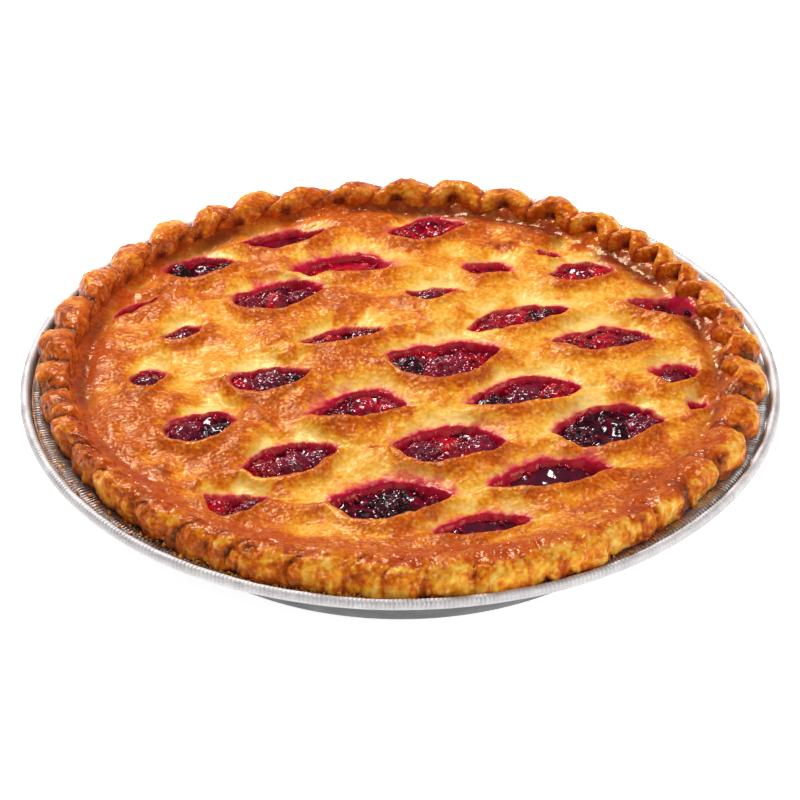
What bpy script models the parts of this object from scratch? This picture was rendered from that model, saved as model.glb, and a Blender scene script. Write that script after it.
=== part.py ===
"""Mixed berry lattice pie in its pressed foil tin.

Three pieces: the foil tin, the baked crust (lining, crimped edge and slit lid in one) and the berry filling.
All sizes here are millimetres, and `MM` turns them into metres where a mesh is made. The origin is the centre of
the tin's flat base, and +Z points up.
"""

import math
import random

import bmesh
import bpy
import numpy as np
from mathutils import Euler, Matrix, Vector, geometry

MM = 0.001
CLEARANCE = 0.35
SLOPE_CLEARANCE = 0.55

# The foil tin, a 9-inch pie plate: its rolled rim, flange, sloping wall and flat base
TIN_RADIUS = 122.0
TIN_HEIGHT = 31.8
TIN_BASE_RADIUS = 87.4
TIN_GAUGE = 0.5
TIN_CORNER = 0.9
BEAD_WIDTH = 3.8
BEAD_DEPTH = 3.2
FLANGE_INNER_RADIUS = 110.5
FLANGE_HEIGHT = 29.3
TURN_STEPS = 72

# The pastry: dough thickness, the lid's dome, and the groove where the lid meets the crimped edge
DOUGH = 4.2
LID_RADIUS = 103.0
LID_CENTRE_HEIGHT = 38.0
LID_DROP = 4.6
DROP_RADIUS = 100.0
LID_THICKNESS = 4.6
GROOVE_RADIUS = 101.0
GROOVE_DEPTH = 1.3
GROOVE_WIDTH = 4.0
PUFF = 0.9
PUFF_REACH = 8.0

# The relief round a slit: the dough sinks towards its far lip, and stands up in a ridge in front of its near lip
LIP_ROUND = 3.2
FAR_DROP = 3.1
FAR_REACH = 7.0
NEAR_DROP = 1.9
NEAR_REACH = 1.3
MOST_DROP = 3.3
RIDGE_HEIGHT = 1.9
RIDGE_PLACE = 3.9
RIDGE_WIDTH = 3.1
SIDE_WIDTH = 3.0
CREASE_RUN = 15.0

# The crimped edge: its creases' angles in degrees, with an outward lobe between each two
CREASES = (
    1.8, 11.5, 18.9, 27.2, 34.0, 40.8, 47.5, 56.5, 65.6, 75.0, 84.0, 92.7, 101.3, 110.6,
    119.9, 128.5, 138.1, 147.8, 157.5, 167.6, 177.4, 185.8, 195.5, 203.6, 212.2, 224.0, 233.2, 242.6,
    252.5, 261.3, 267.2, 273.4, 280.9, 291.8, 303.0, 308.6, 313.5, 321.5, 329.6, 340.4, 350.7,
)  # fmt: skip
RIM_BASE_HEIGHT = FLANGE_HEIGHT + TIN_GAUGE + CLEARANCE
RIM_CREST_HEIGHT = 39.9
CREST_TILT = 0.9
CREASE_RADIUS = 112.4
LOBE_REACH = 4.4
CREST_RADIUS = 106.6
CREST_SWAY = 3.6
POCKET_RADIUS = 102.6
POCKET_REACH = 3.4

# The slits of the lid, pulled open: centre x and y, half length, reach to the far and to the near side, and the
# slant of the long axis in degrees
SLIT_SHEAR = 0.22
SLIT_SHARPNESS = 1.6
SLITS = (
    (25.0, -85.9, 15.8, 7.6, 5.0, 13),
    (-3.0, -72.5, 18.8, 9.6, 10.6, 4),
    (46.8, -60.6, 19.6, 10.0, 4.6, 15),
    (-50.4, -71.0, 10.2, 3.2, 10.2, -6),
    (-34.2, -51.6, 15.4, 9.4, 9.0, 14),
    (15.4, -44.7, 17.5, 11.4, 9.4, 4),
    (65.6, -32.6, 18.5, 13.0, 10.0, 17),
    (-62.5, -32.3, 11.8, 9.2, 11.2, -1),
    (-13.0, -27.1, 15.0, 12.6, 4.3, 8),
    (39.6, -18.0, 19.0, 12.0, 4.6, 16),
    (88.0, 0.3, 7.8, 5.6, 8.0, 16),
    (94.0, -17.6, 3.2, 2.8, 2.8, 0),
    (-80.6, -3.6, 6.6, 6.4, 6.4, 8),
    (-41.0, -4.2, 14.0, 4.4, 12.0, 3),
    (14.0, 6.0, 18.6, 7.4, 15.8, 8),
    (66.2, 16.6, 16.8, 9.6, 6.4, 9),
    (-71.0, 22.3, 7.6, 4.6, 4.6, 24),
    (-18.0, 16.7, 14.8, 6.0, 4.6, 18),
    (38.3, 28.4, 18.8, 9.0, 4.9, 22),
    (86.0, 38.8, 12.8, 8.8, 4.8, -19),
    (-86.5, 39.8, 9.4, 3.4, 2.6, 40),
    (-40.6, 43.6, 15.6, 8.8, 11.0, 7),
    (9.8, 44.2, 9.2, 4.4, 6.0, 3),
    (60.4, 58.8, 11.8, 10.8, 4.9, 15),
    (-66.4, 64.6, 13.4, 8.0, 9.0, 2),
    (-18.3, 59.2, 15.8, 13.6, 3.6, 0),
    (29.0, 59.0, 8.6, 8.4, 4.4, -14),
    (49.5, 73.4, 4.6, 3.2, 2.8, -20),
    (-40.0, 83.8, 15.8, 4.6, 8.0, 14),
    (8.8, 87.6, 13.6, 10.0, 8.6, 17),
)
OUTLINE_POINTS = 12
SMALL_OUTLINE_POINTS = 8
SMALL_SLIT = 6.0
SHEET_SPACING = 10.5
UNDERSIDE_SPACING = 24.0

# The berries whose tops stand out of the filling
BERRY_RADIUS = 7.2
BERRY_SPACING = 10.5
BERRY_MARGIN = 0.9
BERRY_SIDES = 10
BERRY_BANDS = 6
BERRY_LIMIT_RADIUS = 86.0
LEAST_BERRY_CAP = 2.3
MOST_BERRY_CAP = 6.0
SEED = 11


def clear_scene():
    for obj in list(bpy.data.objects):
        bpy.data.objects.remove(obj, do_unlink=True)


def new_collection(name):
    collection = bpy.data.collections.new(name)
    bpy.context.scene.collection.children.link(collection)
    return collection


def new_material(name, colour, roughness, metallic=0.0):
    material = bpy.data.materials.new(name)
    material.use_nodes = True
    shader = material.node_tree.nodes["Principled BSDF"]
    shader.inputs["Base Color"].default_value = (*colour, 1.0)
    shader.inputs["Roughness"].default_value = roughness
    shader.inputs["Metallic"].default_value = metallic
    return material


def object_from(name, points, faces, collection):
    """A mesh object from points in millimetres, with its normals pointing out."""
    mesh = bpy.data.meshes.new(name)
    mesh.from_pydata([Vector(p) * MM for p in points], [], [tuple(f) for f in faces])
    shape = bmesh.new()
    shape.from_mesh(mesh)
    bmesh.ops.recalc_face_normals(shape, faces=shape.faces)
    shape.to_mesh(mesh)
    shape.free()
    obj = bpy.data.objects.new(name, mesh)
    collection.objects.link(obj)
    return obj


def turned(name, profile, collection):
    """A turned solid: the profile's (radius, height) points start and end on the Z axis."""
    mesh = bpy.data.meshes.new(name)
    edges = [(i, i + 1) for i in range(len(profile) - 1)]
    mesh.from_pydata([Vector((r, 0.0, z)) * MM for r, z in profile], edges, [])
    obj = bpy.data.objects.new(name, mesh)
    collection.objects.link(obj)
    screw = obj.modifiers.new("Turn", "SCREW")
    screw.axis = "Z"
    screw.steps = TURN_STEPS
    screw.render_steps = TURN_STEPS
    screw.use_merge_vertices = True
    screw.merge_threshold = 0.00001
    screw.use_normal_calculate = True
    return obj


def joined(name, first, others, collection):
    """The first object with every object of the collection `others` united to it, as one plain mesh."""
    union = first.modifiers.new("Join", "BOOLEAN")
    union.operation = "UNION"
    union.operand_type = "COLLECTION"
    union.collection = others
    union.solver = "EXACT"
    graph = bpy.context.evaluated_depsgraph_get()
    mesh = bpy.data.meshes.new_from_object(first.evaluated_get(graph))
    mesh.name = name
    obj = bpy.data.objects.new(name, mesh)
    collection.objects.link(obj)
    bpy.data.objects.remove(first, do_unlink=True)
    for helper in list(others.objects):
        bpy.data.objects.remove(helper, do_unlink=True)
    bpy.data.collections.remove(others)
    return obj


def finish(obj, material, smooth_angle=math.radians(40)):
    obj.data.materials.clear()
    obj.data.materials.append(material)
    obj.data.shade_smooth()
    obj.data.set_sharp_from_angle(angle=smooth_angle)


def tin_wall_radius(height):
    """Radius of the foil wall's inner face at a height, a straight slope from the base to the flange."""
    foot = TIN_CORNER + TIN_GAUGE
    share = (height - foot) / (FLANGE_HEIGHT + TIN_GAUGE - foot)
    return TIN_BASE_RADIUS + share * (FLANGE_INNER_RADIUS - TIN_GAUGE - TIN_BASE_RADIUS)


def make_tin(collection):
    """The pressed foil tin: flat base, sloping wall, flange and the rolled bead round its edge."""
    bead_inner = TIN_RADIUS - BEAD_WIDTH
    bead_foot = TIN_HEIGHT - BEAD_DEPTH
    flange_top = FLANGE_HEIGHT + TIN_GAUGE
    corner = TIN_CORNER
    under = [
        (0.0, 0.0),
        (TIN_BASE_RADIUS - 2 * corner, 0.0),
        (TIN_BASE_RADIUS + corner, corner),
        (FLANGE_INNER_RADIUS, FLANGE_HEIGHT),
        (bead_inner, FLANGE_HEIGHT),
    ]
    bead = [
        (bead_inner + corner, bead_foot),
        (TIN_RADIUS - corner, bead_foot),
        (TIN_RADIUS, bead_foot + corner),
        (TIN_RADIUS, TIN_HEIGHT - corner),
        (TIN_RADIUS - corner, TIN_HEIGHT),
        (bead_inner + corner, TIN_HEIGHT),
        (bead_inner, TIN_HEIGHT - corner),
    ]
    inside = [
        (bead_inner - TIN_GAUGE, flange_top),
        (FLANGE_INNER_RADIUS - TIN_GAUGE, flange_top),
        (TIN_BASE_RADIUS, corner + TIN_GAUGE),
        (TIN_BASE_RADIUS - 2 * corner, TIN_GAUGE),
        (0.0, TIN_GAUGE),
    ]
    return turned("foil_tin", under + bead + inside, collection)


def lid_dome(radius):
    """Height of the lid's smooth dome, without its relief."""
    return LID_CENTRE_HEIGHT - LID_DROP * (radius / DROP_RADIUS) ** 2


def slit_outline(slit, points, grow=0.0):
    """The slit as a sheared lens: u runs along it, v across it, and v is a power of the sine, so the tips are sharp."""
    x, y, half_length, far, near, slant = slit
    turn = math.radians(slant)
    along = Vector((math.cos(turn), math.sin(turn)))
    across = Vector((-math.sin(turn), math.cos(turn)))
    outline = []
    for step in range(points):
        angle = 2 * math.pi * step / points
        reach = (far if math.sin(angle) > 0 else near) + grow
        v = reach * math.copysign(abs(math.sin(angle)) ** SLIT_SHARPNESS, math.sin(angle))
        u = (half_length + grow) * math.cos(angle) + SLIT_SHEAR * v
        outline.append(Vector((x, y)) + along * u + across * v)
    return outline


def outline_count(slit):
    return SMALL_OUTLINE_POINTS if slit[2] < SMALL_SLIT else OUTLINE_POINTS


def segment_distances(points, ring):
    """Distance of each point to the closed line through the ring's points."""
    start = np.array(ring)
    run = np.roll(start, -1, axis=0) - start
    offset = points[:, None, :] - start[None, :, :]
    share = (offset * run).sum(axis=2) / (run * run).sum(axis=1)
    nearest = offset - np.clip(share, 0.0, 1.0)[..., None] * run
    return np.sqrt((nearest**2).sum(axis=2)).min(axis=1)


def slit_distance(points):
    """Distance of each point of the lid to the nearest slit's edge."""
    rings = [slit_outline(slit, outline_count(slit)) for slit in SLITS]
    return np.min([segment_distances(points, ring) for ring in rings], axis=0)


def inside(point, ring):
    """Whether the point lies inside the ring, by the crossings of a ray along +X."""
    crossings = 0
    for a, b in zip(ring, ring[1:] + ring[:1]):
        if (a.y > point.y) != (b.y > point.y):
            crossings += point.x < a.x + (point.y - a.y) * (b.x - a.x) / (b.y - a.y)
    return crossings % 2 == 1


def eased(value):
    """A value held between 0 and 1 and eased at both ends."""
    share = np.clip(value, 0.0, 1.0)
    return share * share * (3.0 - 2.0 * share)


def round_a_slit(points, slit):
    """How much the dough sinks at each point because of a slit, and how much it stands up there in the ridge."""
    x, y, half_length, far, near, slant = slit
    turn = math.radians(slant)
    offset = points - np.array([x, y])
    v = offset @ np.array([-math.sin(turn), math.cos(turn)])
    u = offset @ np.array([math.cos(turn), math.sin(turn)]) - SLIT_SHEAR * v
    opening = np.maximum(1.0 - (u / half_length) ** 2, 0.0) ** (0.5 * SLIT_SHARPNESS)
    behind = np.maximum(v - far * opening, 0.0)
    before = np.maximum(-v - near * opening, 0.0)
    side = eased(0.5 + v / SIDE_WIDTH)
    reach = eased(1.0 - np.maximum(np.abs(u) - half_length, 0.0) / CREASE_RUN)
    sunk = side * FAR_DROP * np.exp(-((behind / FAR_REACH) ** 2))
    sunk += (1.0 - side) * NEAR_DROP * np.exp(-((before / NEAR_REACH) ** 2))
    ridge = (1.0 - side) * RIDGE_HEIGHT * np.exp(-(((before - RIDGE_PLACE) / RIDGE_WIDTH) ** 2))
    return sunk * reach, ridge * reach


def lid_top(points):
    """Height of the baked top: the puffed dome, sunk and ridged round its slits and dipping at the edge."""
    radius = np.hypot(points[:, 0], points[:, 1])
    shares = [round_a_slit(points, slit) for slit in SLITS]
    sunk = np.minimum(sum(share[0] for share in shares), MOST_DROP)
    ridge = np.max([share[1] for share in shares], axis=0)
    groove = GROOVE_DEPTH * np.exp(-(((radius - GROOVE_RADIUS) / GROOVE_WIDTH) ** 2))
    fade = np.clip((GROOVE_RADIUS - radius) / PUFF_REACH, 0.0, 1.0)
    return lid_dome(radius) + (PUFF + ridge - sunk) * fade - groove


def circle_points(radius, count):
    angles = [2 * math.pi * i / count for i in range(count)]
    return [Vector((radius * math.cos(a), radius * math.sin(a))) for a in angles]


def even_field(spacing):
    """Evenly spaced points over the lid, in rows that are offset by half a space."""
    rows = int(2 * LID_RADIUS / spacing)
    field = []
    for row in range(-rows, rows):
        for column in range(-rows, rows):
            field.append(Vector((spacing * (column + 0.5 * (row % 2)), row * spacing * math.sqrt(0.75))))
    return field


def on_dough(points):
    """The points that lie on dough, clear of the slits, of the lid's edge and of each other."""
    rings = [slit_outline(slit, outline_count(slit)) for slit in SLITS]
    field = [p for p in points if p.length < GROOVE_RADIUS - 0.9 * GROOVE_WIDTH]
    away = slit_distance(np.array(field))
    spread = []
    for p, gap in zip(field, away):
        if gap < 0.8 * LIP_ROUND or any(inside(p, ring) for ring in rings):
            continue
        if all((p - q).length > 0.45 * LIP_ROUND for q in spread):
            spread.append(p)
    return spread


def relief_points():
    """Points that carry the top's relief: a collar round each slit, a ring inside the groove and an even field."""
    collars = [slit_outline(slit, outline_count(slit), grow=LIP_ROUND) for slit in SLITS]
    chosen = [p for collar in collars for p in collar]
    chosen += circle_points(GROOVE_RADIUS - GROOVE_WIDTH, TURN_STEPS // 2)
    return on_dough(chosen + even_field(SHEET_SPACING))


def triangulated(loops, extra):
    """Flat triangles between the loops and through the extra points, with the slits left open."""
    flat = [p for loop in loops for p in loop] + extra
    edges = []
    start = 0
    for loop in loops:
        edges += [(start + i, start + (i + 1) % len(loop)) for i in range(len(loop))]
        start += len(loop)
    points, _, faces, _, _, _ = geometry.delaunay_2d_cdt(flat, edges, [], 0, 0.0001)
    slits = loops[1:]
    kept = []
    for face in faces:
        centre = sum((points[i] for i in face), Vector((0.0, 0.0))) / len(face)
        if not any(inside(centre, ring) for ring in slits):
            kept.append(tuple(face))
    return points, kept


def border_edges(faces):
    """The edges that only one face has, each in that face's own direction."""
    ends = [(f[i], f[(i + 1) % len(f)]) for f in faces for i in range(len(f))]
    known = set(ends)
    return [(a, b) for a, b in ends if (b, a) not in known]


def make_lid(collection):
    """The slit lid: a relief top over a plain domed underside, with a wall down each slit and round the edge."""
    loops = [circle_points(LID_RADIUS, TURN_STEPS)]
    loops += [slit_outline(slit, outline_count(slit)) for slit in SLITS]
    top, top_faces = triangulated(loops, relief_points())
    under, under_faces = triangulated(loops, on_dough(even_field(UNDERSIDE_SPACING)))
    heights = lid_top(np.array(top))
    points = [(p.x, p.y, z) for p, z in zip(top, heights)]
    points += [(p.x, p.y, lid_dome(p.length) - LID_THICKNESS) for p in under]
    below = {(round(p.x, 2), round(p.y, 2)): len(top) + i for i, p in enumerate(under)}
    faces = list(top_faces)
    faces += [tuple(len(top) + i for i in reversed(f)) for f in under_faces]
    for a, b in border_edges(top_faces):
        foot = [below[(round(top[i].x, 2), round(top[i].y, 2))] for i in (a, b)]
        faces.append((b, a, foot[0], foot[1]))
    return object_from("lid", points, faces, collection)


def make_case(collection):
    """The pastry lining: a shell of even dough that follows the foil, from the base to under the crimped edge."""
    foot = TIN_GAUGE + CLEARANCE
    brim = RIM_BASE_HEIGHT + 1.0
    shift = SLOPE_CLEARANCE
    top_radius = tin_wall_radius(RIM_BASE_HEIGHT) - shift - 1.0
    profile = [
        (0.0, foot),
        (TIN_BASE_RADIUS - 3.0, foot),
        (tin_wall_radius(foot + 2.5) - shift, foot + 2.5),
        (top_radius, RIM_BASE_HEIGHT),
        (top_radius, brim),
        (top_radius - 1.4 * DOUGH, brim),
        (tin_wall_radius(foot + DOUGH + 2.0) - shift - 1.4 * DOUGH, foot + DOUGH + 2.0),
        (TIN_BASE_RADIUS - 3.0 - DOUGH, foot + DOUGH),
        (0.0, foot + DOUGH),
    ]
    return turned("case", profile, collection)


def rim_section(phase, rise):
    """The crimped edge cut across, at a phase of the lobe: 0 is the lobe's middle and pi is a crease.

    Outside, the lobes are round and the creases sharp. Inside it is the other way round: a sharp pocket behind each
    lobe, and a round bulge behind each crease. The crest stands higher or lower by the given rise.
    """
    lobe = abs(math.cos(phase / 2)) ** 0.7
    pocket = 1.0 - abs(math.sin(phase / 2)) ** 0.7
    outer = CREASE_RADIUS + LOBE_REACH * lobe
    crest = CREST_RADIUS + CREST_SWAY * (lobe - 0.5)
    inner = POCKET_RADIUS + POCKET_REACH * pocket
    top = RIM_CREST_HEIGHT + rise - 1.6 * (1.0 - lobe)
    return [
        (POCKET_RADIUS - 2.6, RIM_BASE_HEIGHT),
        (outer - 2.2, RIM_BASE_HEIGHT),
        (outer, RIM_BASE_HEIGHT + 3.6),
        (outer - 1.1, top - 4.2),
        (crest + 2.6, top - 0.7),
        (crest - 0.8, top),
        (inner + 1.0, top - 3.8),
        (inner - 1.8, lid_dome(GROOVE_RADIUS) - GROOVE_DEPTH - 0.4),
    ]


def make_rim(collection):
    """The crimped edge, a ring lofted through unlike sections: five to a lobe, the first of them in the crease."""
    phases = [math.pi * share for share in (-1.0, -0.64, -0.22, 0.22, 0.64)]
    points = []
    for start, end in zip(CREASES, CREASES[1:] + (CREASES[0] + 360.0,)):
        for phase in phases:
            angle = math.radians(start + (end - start) * (0.5 + 0.5 * phase / math.pi))
            for radius, height in rim_section(phase, -CREST_TILT * math.sin(angle)):
                points.append((radius * math.cos(angle), radius * math.sin(angle), height))
    count = len(CREASES) * len(phases)
    ring = len(points) // count
    faces = []
    for i in range(count):
        here, there = i * ring, ((i + 1) % count) * ring
        for j in range(ring):
            k = (j + 1) % ring
            faces.append((here + j, there + j, there + k, here + k))
    return object_from("rim", points, faces, collection)


def make_crust(collection):
    """Lining, crimped edge and lid, baked into one piece."""
    pieces = new_collection("crust_pieces")
    make_case(pieces)
    make_lid(pieces)
    return joined("pie_crust", make_rim(collection), pieces, collection)


def filling_top(radius):
    return lid_dome(radius) - LID_THICKNESS - CLEARANCE


def make_core(collection):
    """The filling's body: it fills the lining and follows the lid's underside, a clearance away from both."""
    foot = TIN_GAUGE + CLEARANCE + DOUGH
    inset = 1.4 * DOUGH + 2 * SLOPE_CLEARANCE + 0.6
    edge = tin_wall_radius(RIM_BASE_HEIGHT) - inset - 3.4
    profile = [
        (0.0, foot + CLEARANCE),
        (TIN_BASE_RADIUS - 3.4 - DOUGH, foot + CLEARANCE),
        (tin_wall_radius(foot + 2.4) - inset, foot + 2.4),
        (edge, filling_top(edge) - 1.8),
        (edge - 2.0, filling_top(edge - 2.0)),
    ]
    rings = [0.72 * edge, 0.4 * edge]
    profile += [(radius, filling_top(radius)) for radius in rings]
    profile.append((0.0, filling_top(0.0)))
    return turned("core", profile, collection)


def add_berry(collection, number, place, cap, rng):
    """A berry sunk into the filling, so that a cap of the given radius stands out."""
    shape = bmesh.new()
    bmesh.ops.create_uvsphere(shape, u_segments=BERRY_SIDES, v_segments=BERRY_BANDS, radius=BERRY_RADIUS * MM)
    mesh = bpy.data.meshes.new(f"berry_{number}")
    shape.to_mesh(mesh)
    shape.free()
    obj = bpy.data.objects.new(mesh.name, mesh)
    collection.objects.link(obj)
    sunk = math.sqrt(BERRY_RADIUS**2 - cap**2)
    height = filling_top(place.length) - sunk
    turn = Euler([rng.uniform(0, math.tau) for _ in range(3)]).to_matrix().to_4x4()
    obj.matrix_world = Matrix.Translation(Vector((place.x, place.y, height)) * MM) @ turn


def make_filling(collection):
    """The filling with the berries that show in the slits standing out of it."""
    rng = random.Random(SEED)
    berries = new_collection("berries")
    number = 0
    for slit in SLITS:
        x, y, half_length, far, near, slant = slit
        turn = math.radians(slant)
        outline = slit_outline(slit, outline_count(slit))
        count = max(1, round(1.5 * half_length / BERRY_SPACING))
        for i in range(count):
            share = 0.0 if count == 1 else 1.1 * (i / (count - 1) - 0.5)
            share += rng.uniform(-0.05, 0.05)
            v = 0.5 * (far - near) * (1.0 - share * share) ** (0.5 * SLIT_SHARPNESS)
            u = share * half_length + SLIT_SHEAR * v
            place = Vector((x + u * math.cos(turn) - v * math.sin(turn), y + u * math.sin(turn) + v * math.cos(turn)))
            room = segment_distances(np.array([place]), outline)[0]
            cap = min(MOST_BERRY_CAP, room - BERRY_MARGIN)
            if cap > LEAST_BERRY_CAP and place.length < BERRY_LIMIT_RADIUS:
                add_berry(berries, number, place, cap, rng)
                number += 1
    return joined("berry_filling", make_core(collection), berries, collection)


def main():
    clear_scene()
    pie = new_collection("berry_lattice_pie")
    foil = new_material("pressed foil", (0.78, 0.78, 0.8), 0.3, metallic=1.0)
    pastry = new_material("baked pastry", (0.72, 0.38, 0.11), 0.5)
    berries = new_material("berry filling", (0.2, 0.012, 0.04), 0.2)
    finish(make_tin(pie), foil)
    finish(make_crust(pie), pastry)
    finish(make_filling(pie), berries)


main()
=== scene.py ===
"""Mixed berry lattice pie in its foil tin: the looks that go over the solid model.

Shapes are worked out in millimetres, in the solid model's own frame, and made metres where a mesh is made.
"""

import logging
import math
from dataclasses import dataclass, field
from enum import Enum

import bmesh
import bpy
import numpy as np
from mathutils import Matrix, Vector


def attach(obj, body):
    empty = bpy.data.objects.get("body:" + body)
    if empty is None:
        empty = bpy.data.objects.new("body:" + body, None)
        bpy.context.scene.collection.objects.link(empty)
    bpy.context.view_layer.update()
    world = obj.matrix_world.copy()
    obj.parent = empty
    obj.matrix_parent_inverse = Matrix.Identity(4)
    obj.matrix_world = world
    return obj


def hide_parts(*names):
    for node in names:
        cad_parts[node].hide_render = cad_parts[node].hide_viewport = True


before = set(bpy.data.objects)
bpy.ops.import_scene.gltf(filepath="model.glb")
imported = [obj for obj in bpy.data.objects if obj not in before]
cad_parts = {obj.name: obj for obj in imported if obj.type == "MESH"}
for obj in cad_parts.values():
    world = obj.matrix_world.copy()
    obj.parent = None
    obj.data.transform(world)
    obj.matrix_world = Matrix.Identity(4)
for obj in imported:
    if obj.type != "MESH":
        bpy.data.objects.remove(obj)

log = logging.getLogger("berry_pie")

MM = 0.001
TAU = 2.0 * math.pi
LOW_BITS = 0xFFFFFFFF
AXIS_PRIMES = (73856093, 19349663, 83492791)
SEED_PRIME = 2654435761
SCRAMBLES = ((15, 2246822519), (13, 3266489917), (16, 668265263))
Array = np.ndarray
Masks = dict[str, Array]
Socket = bpy.types.NodeSocket
Value = float | tuple | Socket
Inputs = dict[str | int, Value]
Tree = bpy.types.NodeTree
Colour = tuple[int, int, int]
WHITE = (1.0, 1.0, 1.0, 1.0)


class Fruit(Enum):
    """Kinds of fruit in the filling, by the letter that stands for each in a slit's row."""

    RED = "r"
    DARK = "d"
    DUSKY = "p"


# Numbers and noise


def smooth(value: Array) -> Array:
    """Ease a value from 0 to 1: 3t^2 - 2t^3, with t held between 0 and 1."""
    t = np.clip(value, 0.0, 1.0)
    return t * t * (3.0 - 2.0 * t)


def blend(low: Array, high: Array, share: Array) -> Array:
    """Mix two values: low + (high - low) * share."""
    return low + (high - low) * share


def hump(away: Array, width: Array) -> Array:
    """A soft bump, 1 in its middle: exp(-(away / width)^2)."""
    return np.exp(-((away / width) ** 2))


def facing(angle: Array, degrees: float, gain: float, shift: float) -> Array:
    """How much an angle points one way, from 0 to 1: smooth(gain * cos(angle - degrees) + shift)."""
    return smooth(gain * np.cos(angle - math.radians(degrees)) + shift)


def polar(radius: Array, angle: Array, *height: Array) -> Array:
    """Points at a radius and an angle, and at a height where one is given."""
    return np.stack(np.broadcast_arrays(radius * np.cos(angle), radius * np.sin(angle), *height), axis=-1)


def lattice_value(cell: Array, seed: int) -> Array:
    """Give each whole-numbered cell its own value between -1 and 1, by scrambling the bits of its indices.

    Args:
        cell: Whole numbers, one row of three for each point.
        seed: Number that picks another set of values.

    Returns:
        One value for each row.
    """
    mixed = (cell.astype(np.int64) & LOW_BITS) * AXIS_PRIMES
    code = (np.bitwise_xor.reduce(mixed, axis=1) ^ (seed * SEED_PRIME)) & LOW_BITS
    for shift, factor in SCRAMBLES:
        code = ((code ^ (code >> shift)) * factor) & LOW_BITS
    return code.astype(np.float64) / (LOW_BITS // 2) - 1.0


def noise(points: Array, cell: float, seed: int) -> Array:
    """Smooth noise between -1 and 1: lattice values blended across each cell by 6t^5 - 15t^4 + 10t^3.

    Args:
        points: One row of two or three coordinates for each point, in millimetres.
        cell: Width of a lattice cell in millimetres.
        seed: Number that picks another pattern.

    Returns:
        One value for each point.
    """
    place = np.zeros((len(points), 3))
    place[:, : points.shape[1]] = points / cell
    base = np.floor(place)
    t = place - base
    t = t * t * t * (t * (t * 6.0 - 15.0) + 10.0)
    total = np.zeros(len(points))
    for corner in np.ndindex(2, 2, 2):
        step = np.array(corner)
        weight = np.prod(np.where(step == 1, t, 1.0 - t), axis=1)
        total += weight * lattice_value(base + step, seed)
    return total


def layers(points: Array, *rows: tuple[float, float, int]) -> Array:
    """Sum layers of noise, each given as its strength, its cell in millimetres and its seed."""
    return sum(strength * noise(points, cell, seed) for strength, cell, seed in rows)


def flakes(points: Array, cell: float, seed: int) -> Array:
    """Overlapping leaves of pastry: noise m of 0 to 4 cut into terraces, (floor m + smooth(5 frac m)) / 4."""
    level = 2.0 * (1.0 + layers(points, (1.0, cell, seed), (0.35, cell / 2.7, seed + 5)))
    return (np.floor(level) + smooth((level - np.floor(level)) * 5.0)) / 4.0


def wrinkles(points: Array, cell: float, seed: int) -> Array:
    """Ridges with sharp creases between them: 2 |noise| + |noise at half the cell| - 3/4."""
    return 2.0 * np.abs(noise(points, cell, seed)) + np.abs(noise(points, cell / 2, seed + 3)) - 0.75


# Meshes


@dataclass
class Shell:
    """A closed surface in the making: points in millimetres, faces, and masks with a value for each point."""

    points: Array
    faces: list[Array]
    masks: Masks = field(default_factory=dict)

    def add_points(self, extra: Array) -> int:
        """Append points and return the index of the first."""
        self.points = np.vstack([self.points, extra])
        return len(self.points) - len(extra)

    def to_object(self, name: str, material: bpy.types.Material) -> bpy.types.Object:
        """Make the mesh object, smooth-shaded, with one attribute for each mask.

        Args:
            name: Name of the object and its mesh.
            material: The finish of its only slot.

        Returns:
            The new object, linked to the scene at the origin.
        """
        mesh = bpy.data.meshes.new(name)
        corners = np.concatenate([f.ravel() for f in self.faces]).astype(np.int32)
        sizes = np.concatenate([np.full(len(f), f.shape[1], np.int32) for f in self.faces])
        mesh.vertices.add(len(self.points))
        mesh.vertices.foreach_set("co", (self.points * MM).astype(np.float32).ravel())
        mesh.loops.add(len(corners))
        mesh.loops.foreach_set("vertex_index", corners)
        mesh.polygons.add(len(sizes))
        mesh.polygons.foreach_set("loop_start", (np.cumsum(sizes) - sizes).astype(np.int32))
        mesh.polygons.foreach_set("use_smooth", np.ones(len(sizes), bool))
        mesh.update(calc_edges=True)
        mesh.validate()
        for mask, values in self.masks.items():
            padded = np.zeros(len(self.points), np.float32)
            padded[: len(values)] = values
            mesh.attributes.new(mask, "FLOAT", "POINT").data.foreach_set("value", padded)
        mesh.materials.append(material)
        obj = bpy.data.objects.new(name, mesh)
        bpy.context.scene.collection.objects.link(obj)
        return obj


def grid_faces(rows: int, columns: int, wrap_rows: bool = False, wrap_columns: bool = False) -> Array:
    """Quads of a grid whose point (i, j) has the index i * columns + j.

    Args:
        rows: Number of rows of points.
        columns: Number of points in a row.
        wrap_rows: Whether the last row joins the first.
        wrap_columns: Whether the last column joins the first.

    Returns:
        One row of four indices for each quad.
    """
    i = np.arange(rows if wrap_rows else rows - 1)[:, None]
    j = np.arange(columns if wrap_columns else columns - 1)[None, :]
    k, m = (i + 1) % rows, (j + 1) % columns
    quads = np.stack([i * columns + j, k * columns + j, k * columns + m, i * columns + m], axis=-1)
    return quads.reshape(-1, 4)


def disc_grid(radius: float, cells: int) -> Array:
    """Points of a square grid spread evenly over a disc, so that its border is the circle.

    With (a, b) in -1..1 and |a| > |b|, the radius is a and the angle pi/4 * b/a; otherwise the radius is b and
    the angle pi/2 - pi/4 * a/b.

    Args:
        radius: Radius of the disc.
        cells: Cells along each side of the grid.

    Returns:
        The points, row by row.
    """
    a, b = np.meshgrid(np.linspace(-1, 1, cells + 1), np.linspace(-1, 1, cells + 1), indexing="ij")
    wide = np.abs(a) > np.abs(b)
    reach = np.where(wide, a, b)
    safe = np.where(reach == 0.0, 1.0, reach)
    angle = np.where(wide, math.pi / 4 * b / safe, math.pi / 2 - math.pi / 4 * a / safe)
    return polar(radius * reach, angle).reshape(-1, 2)


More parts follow.
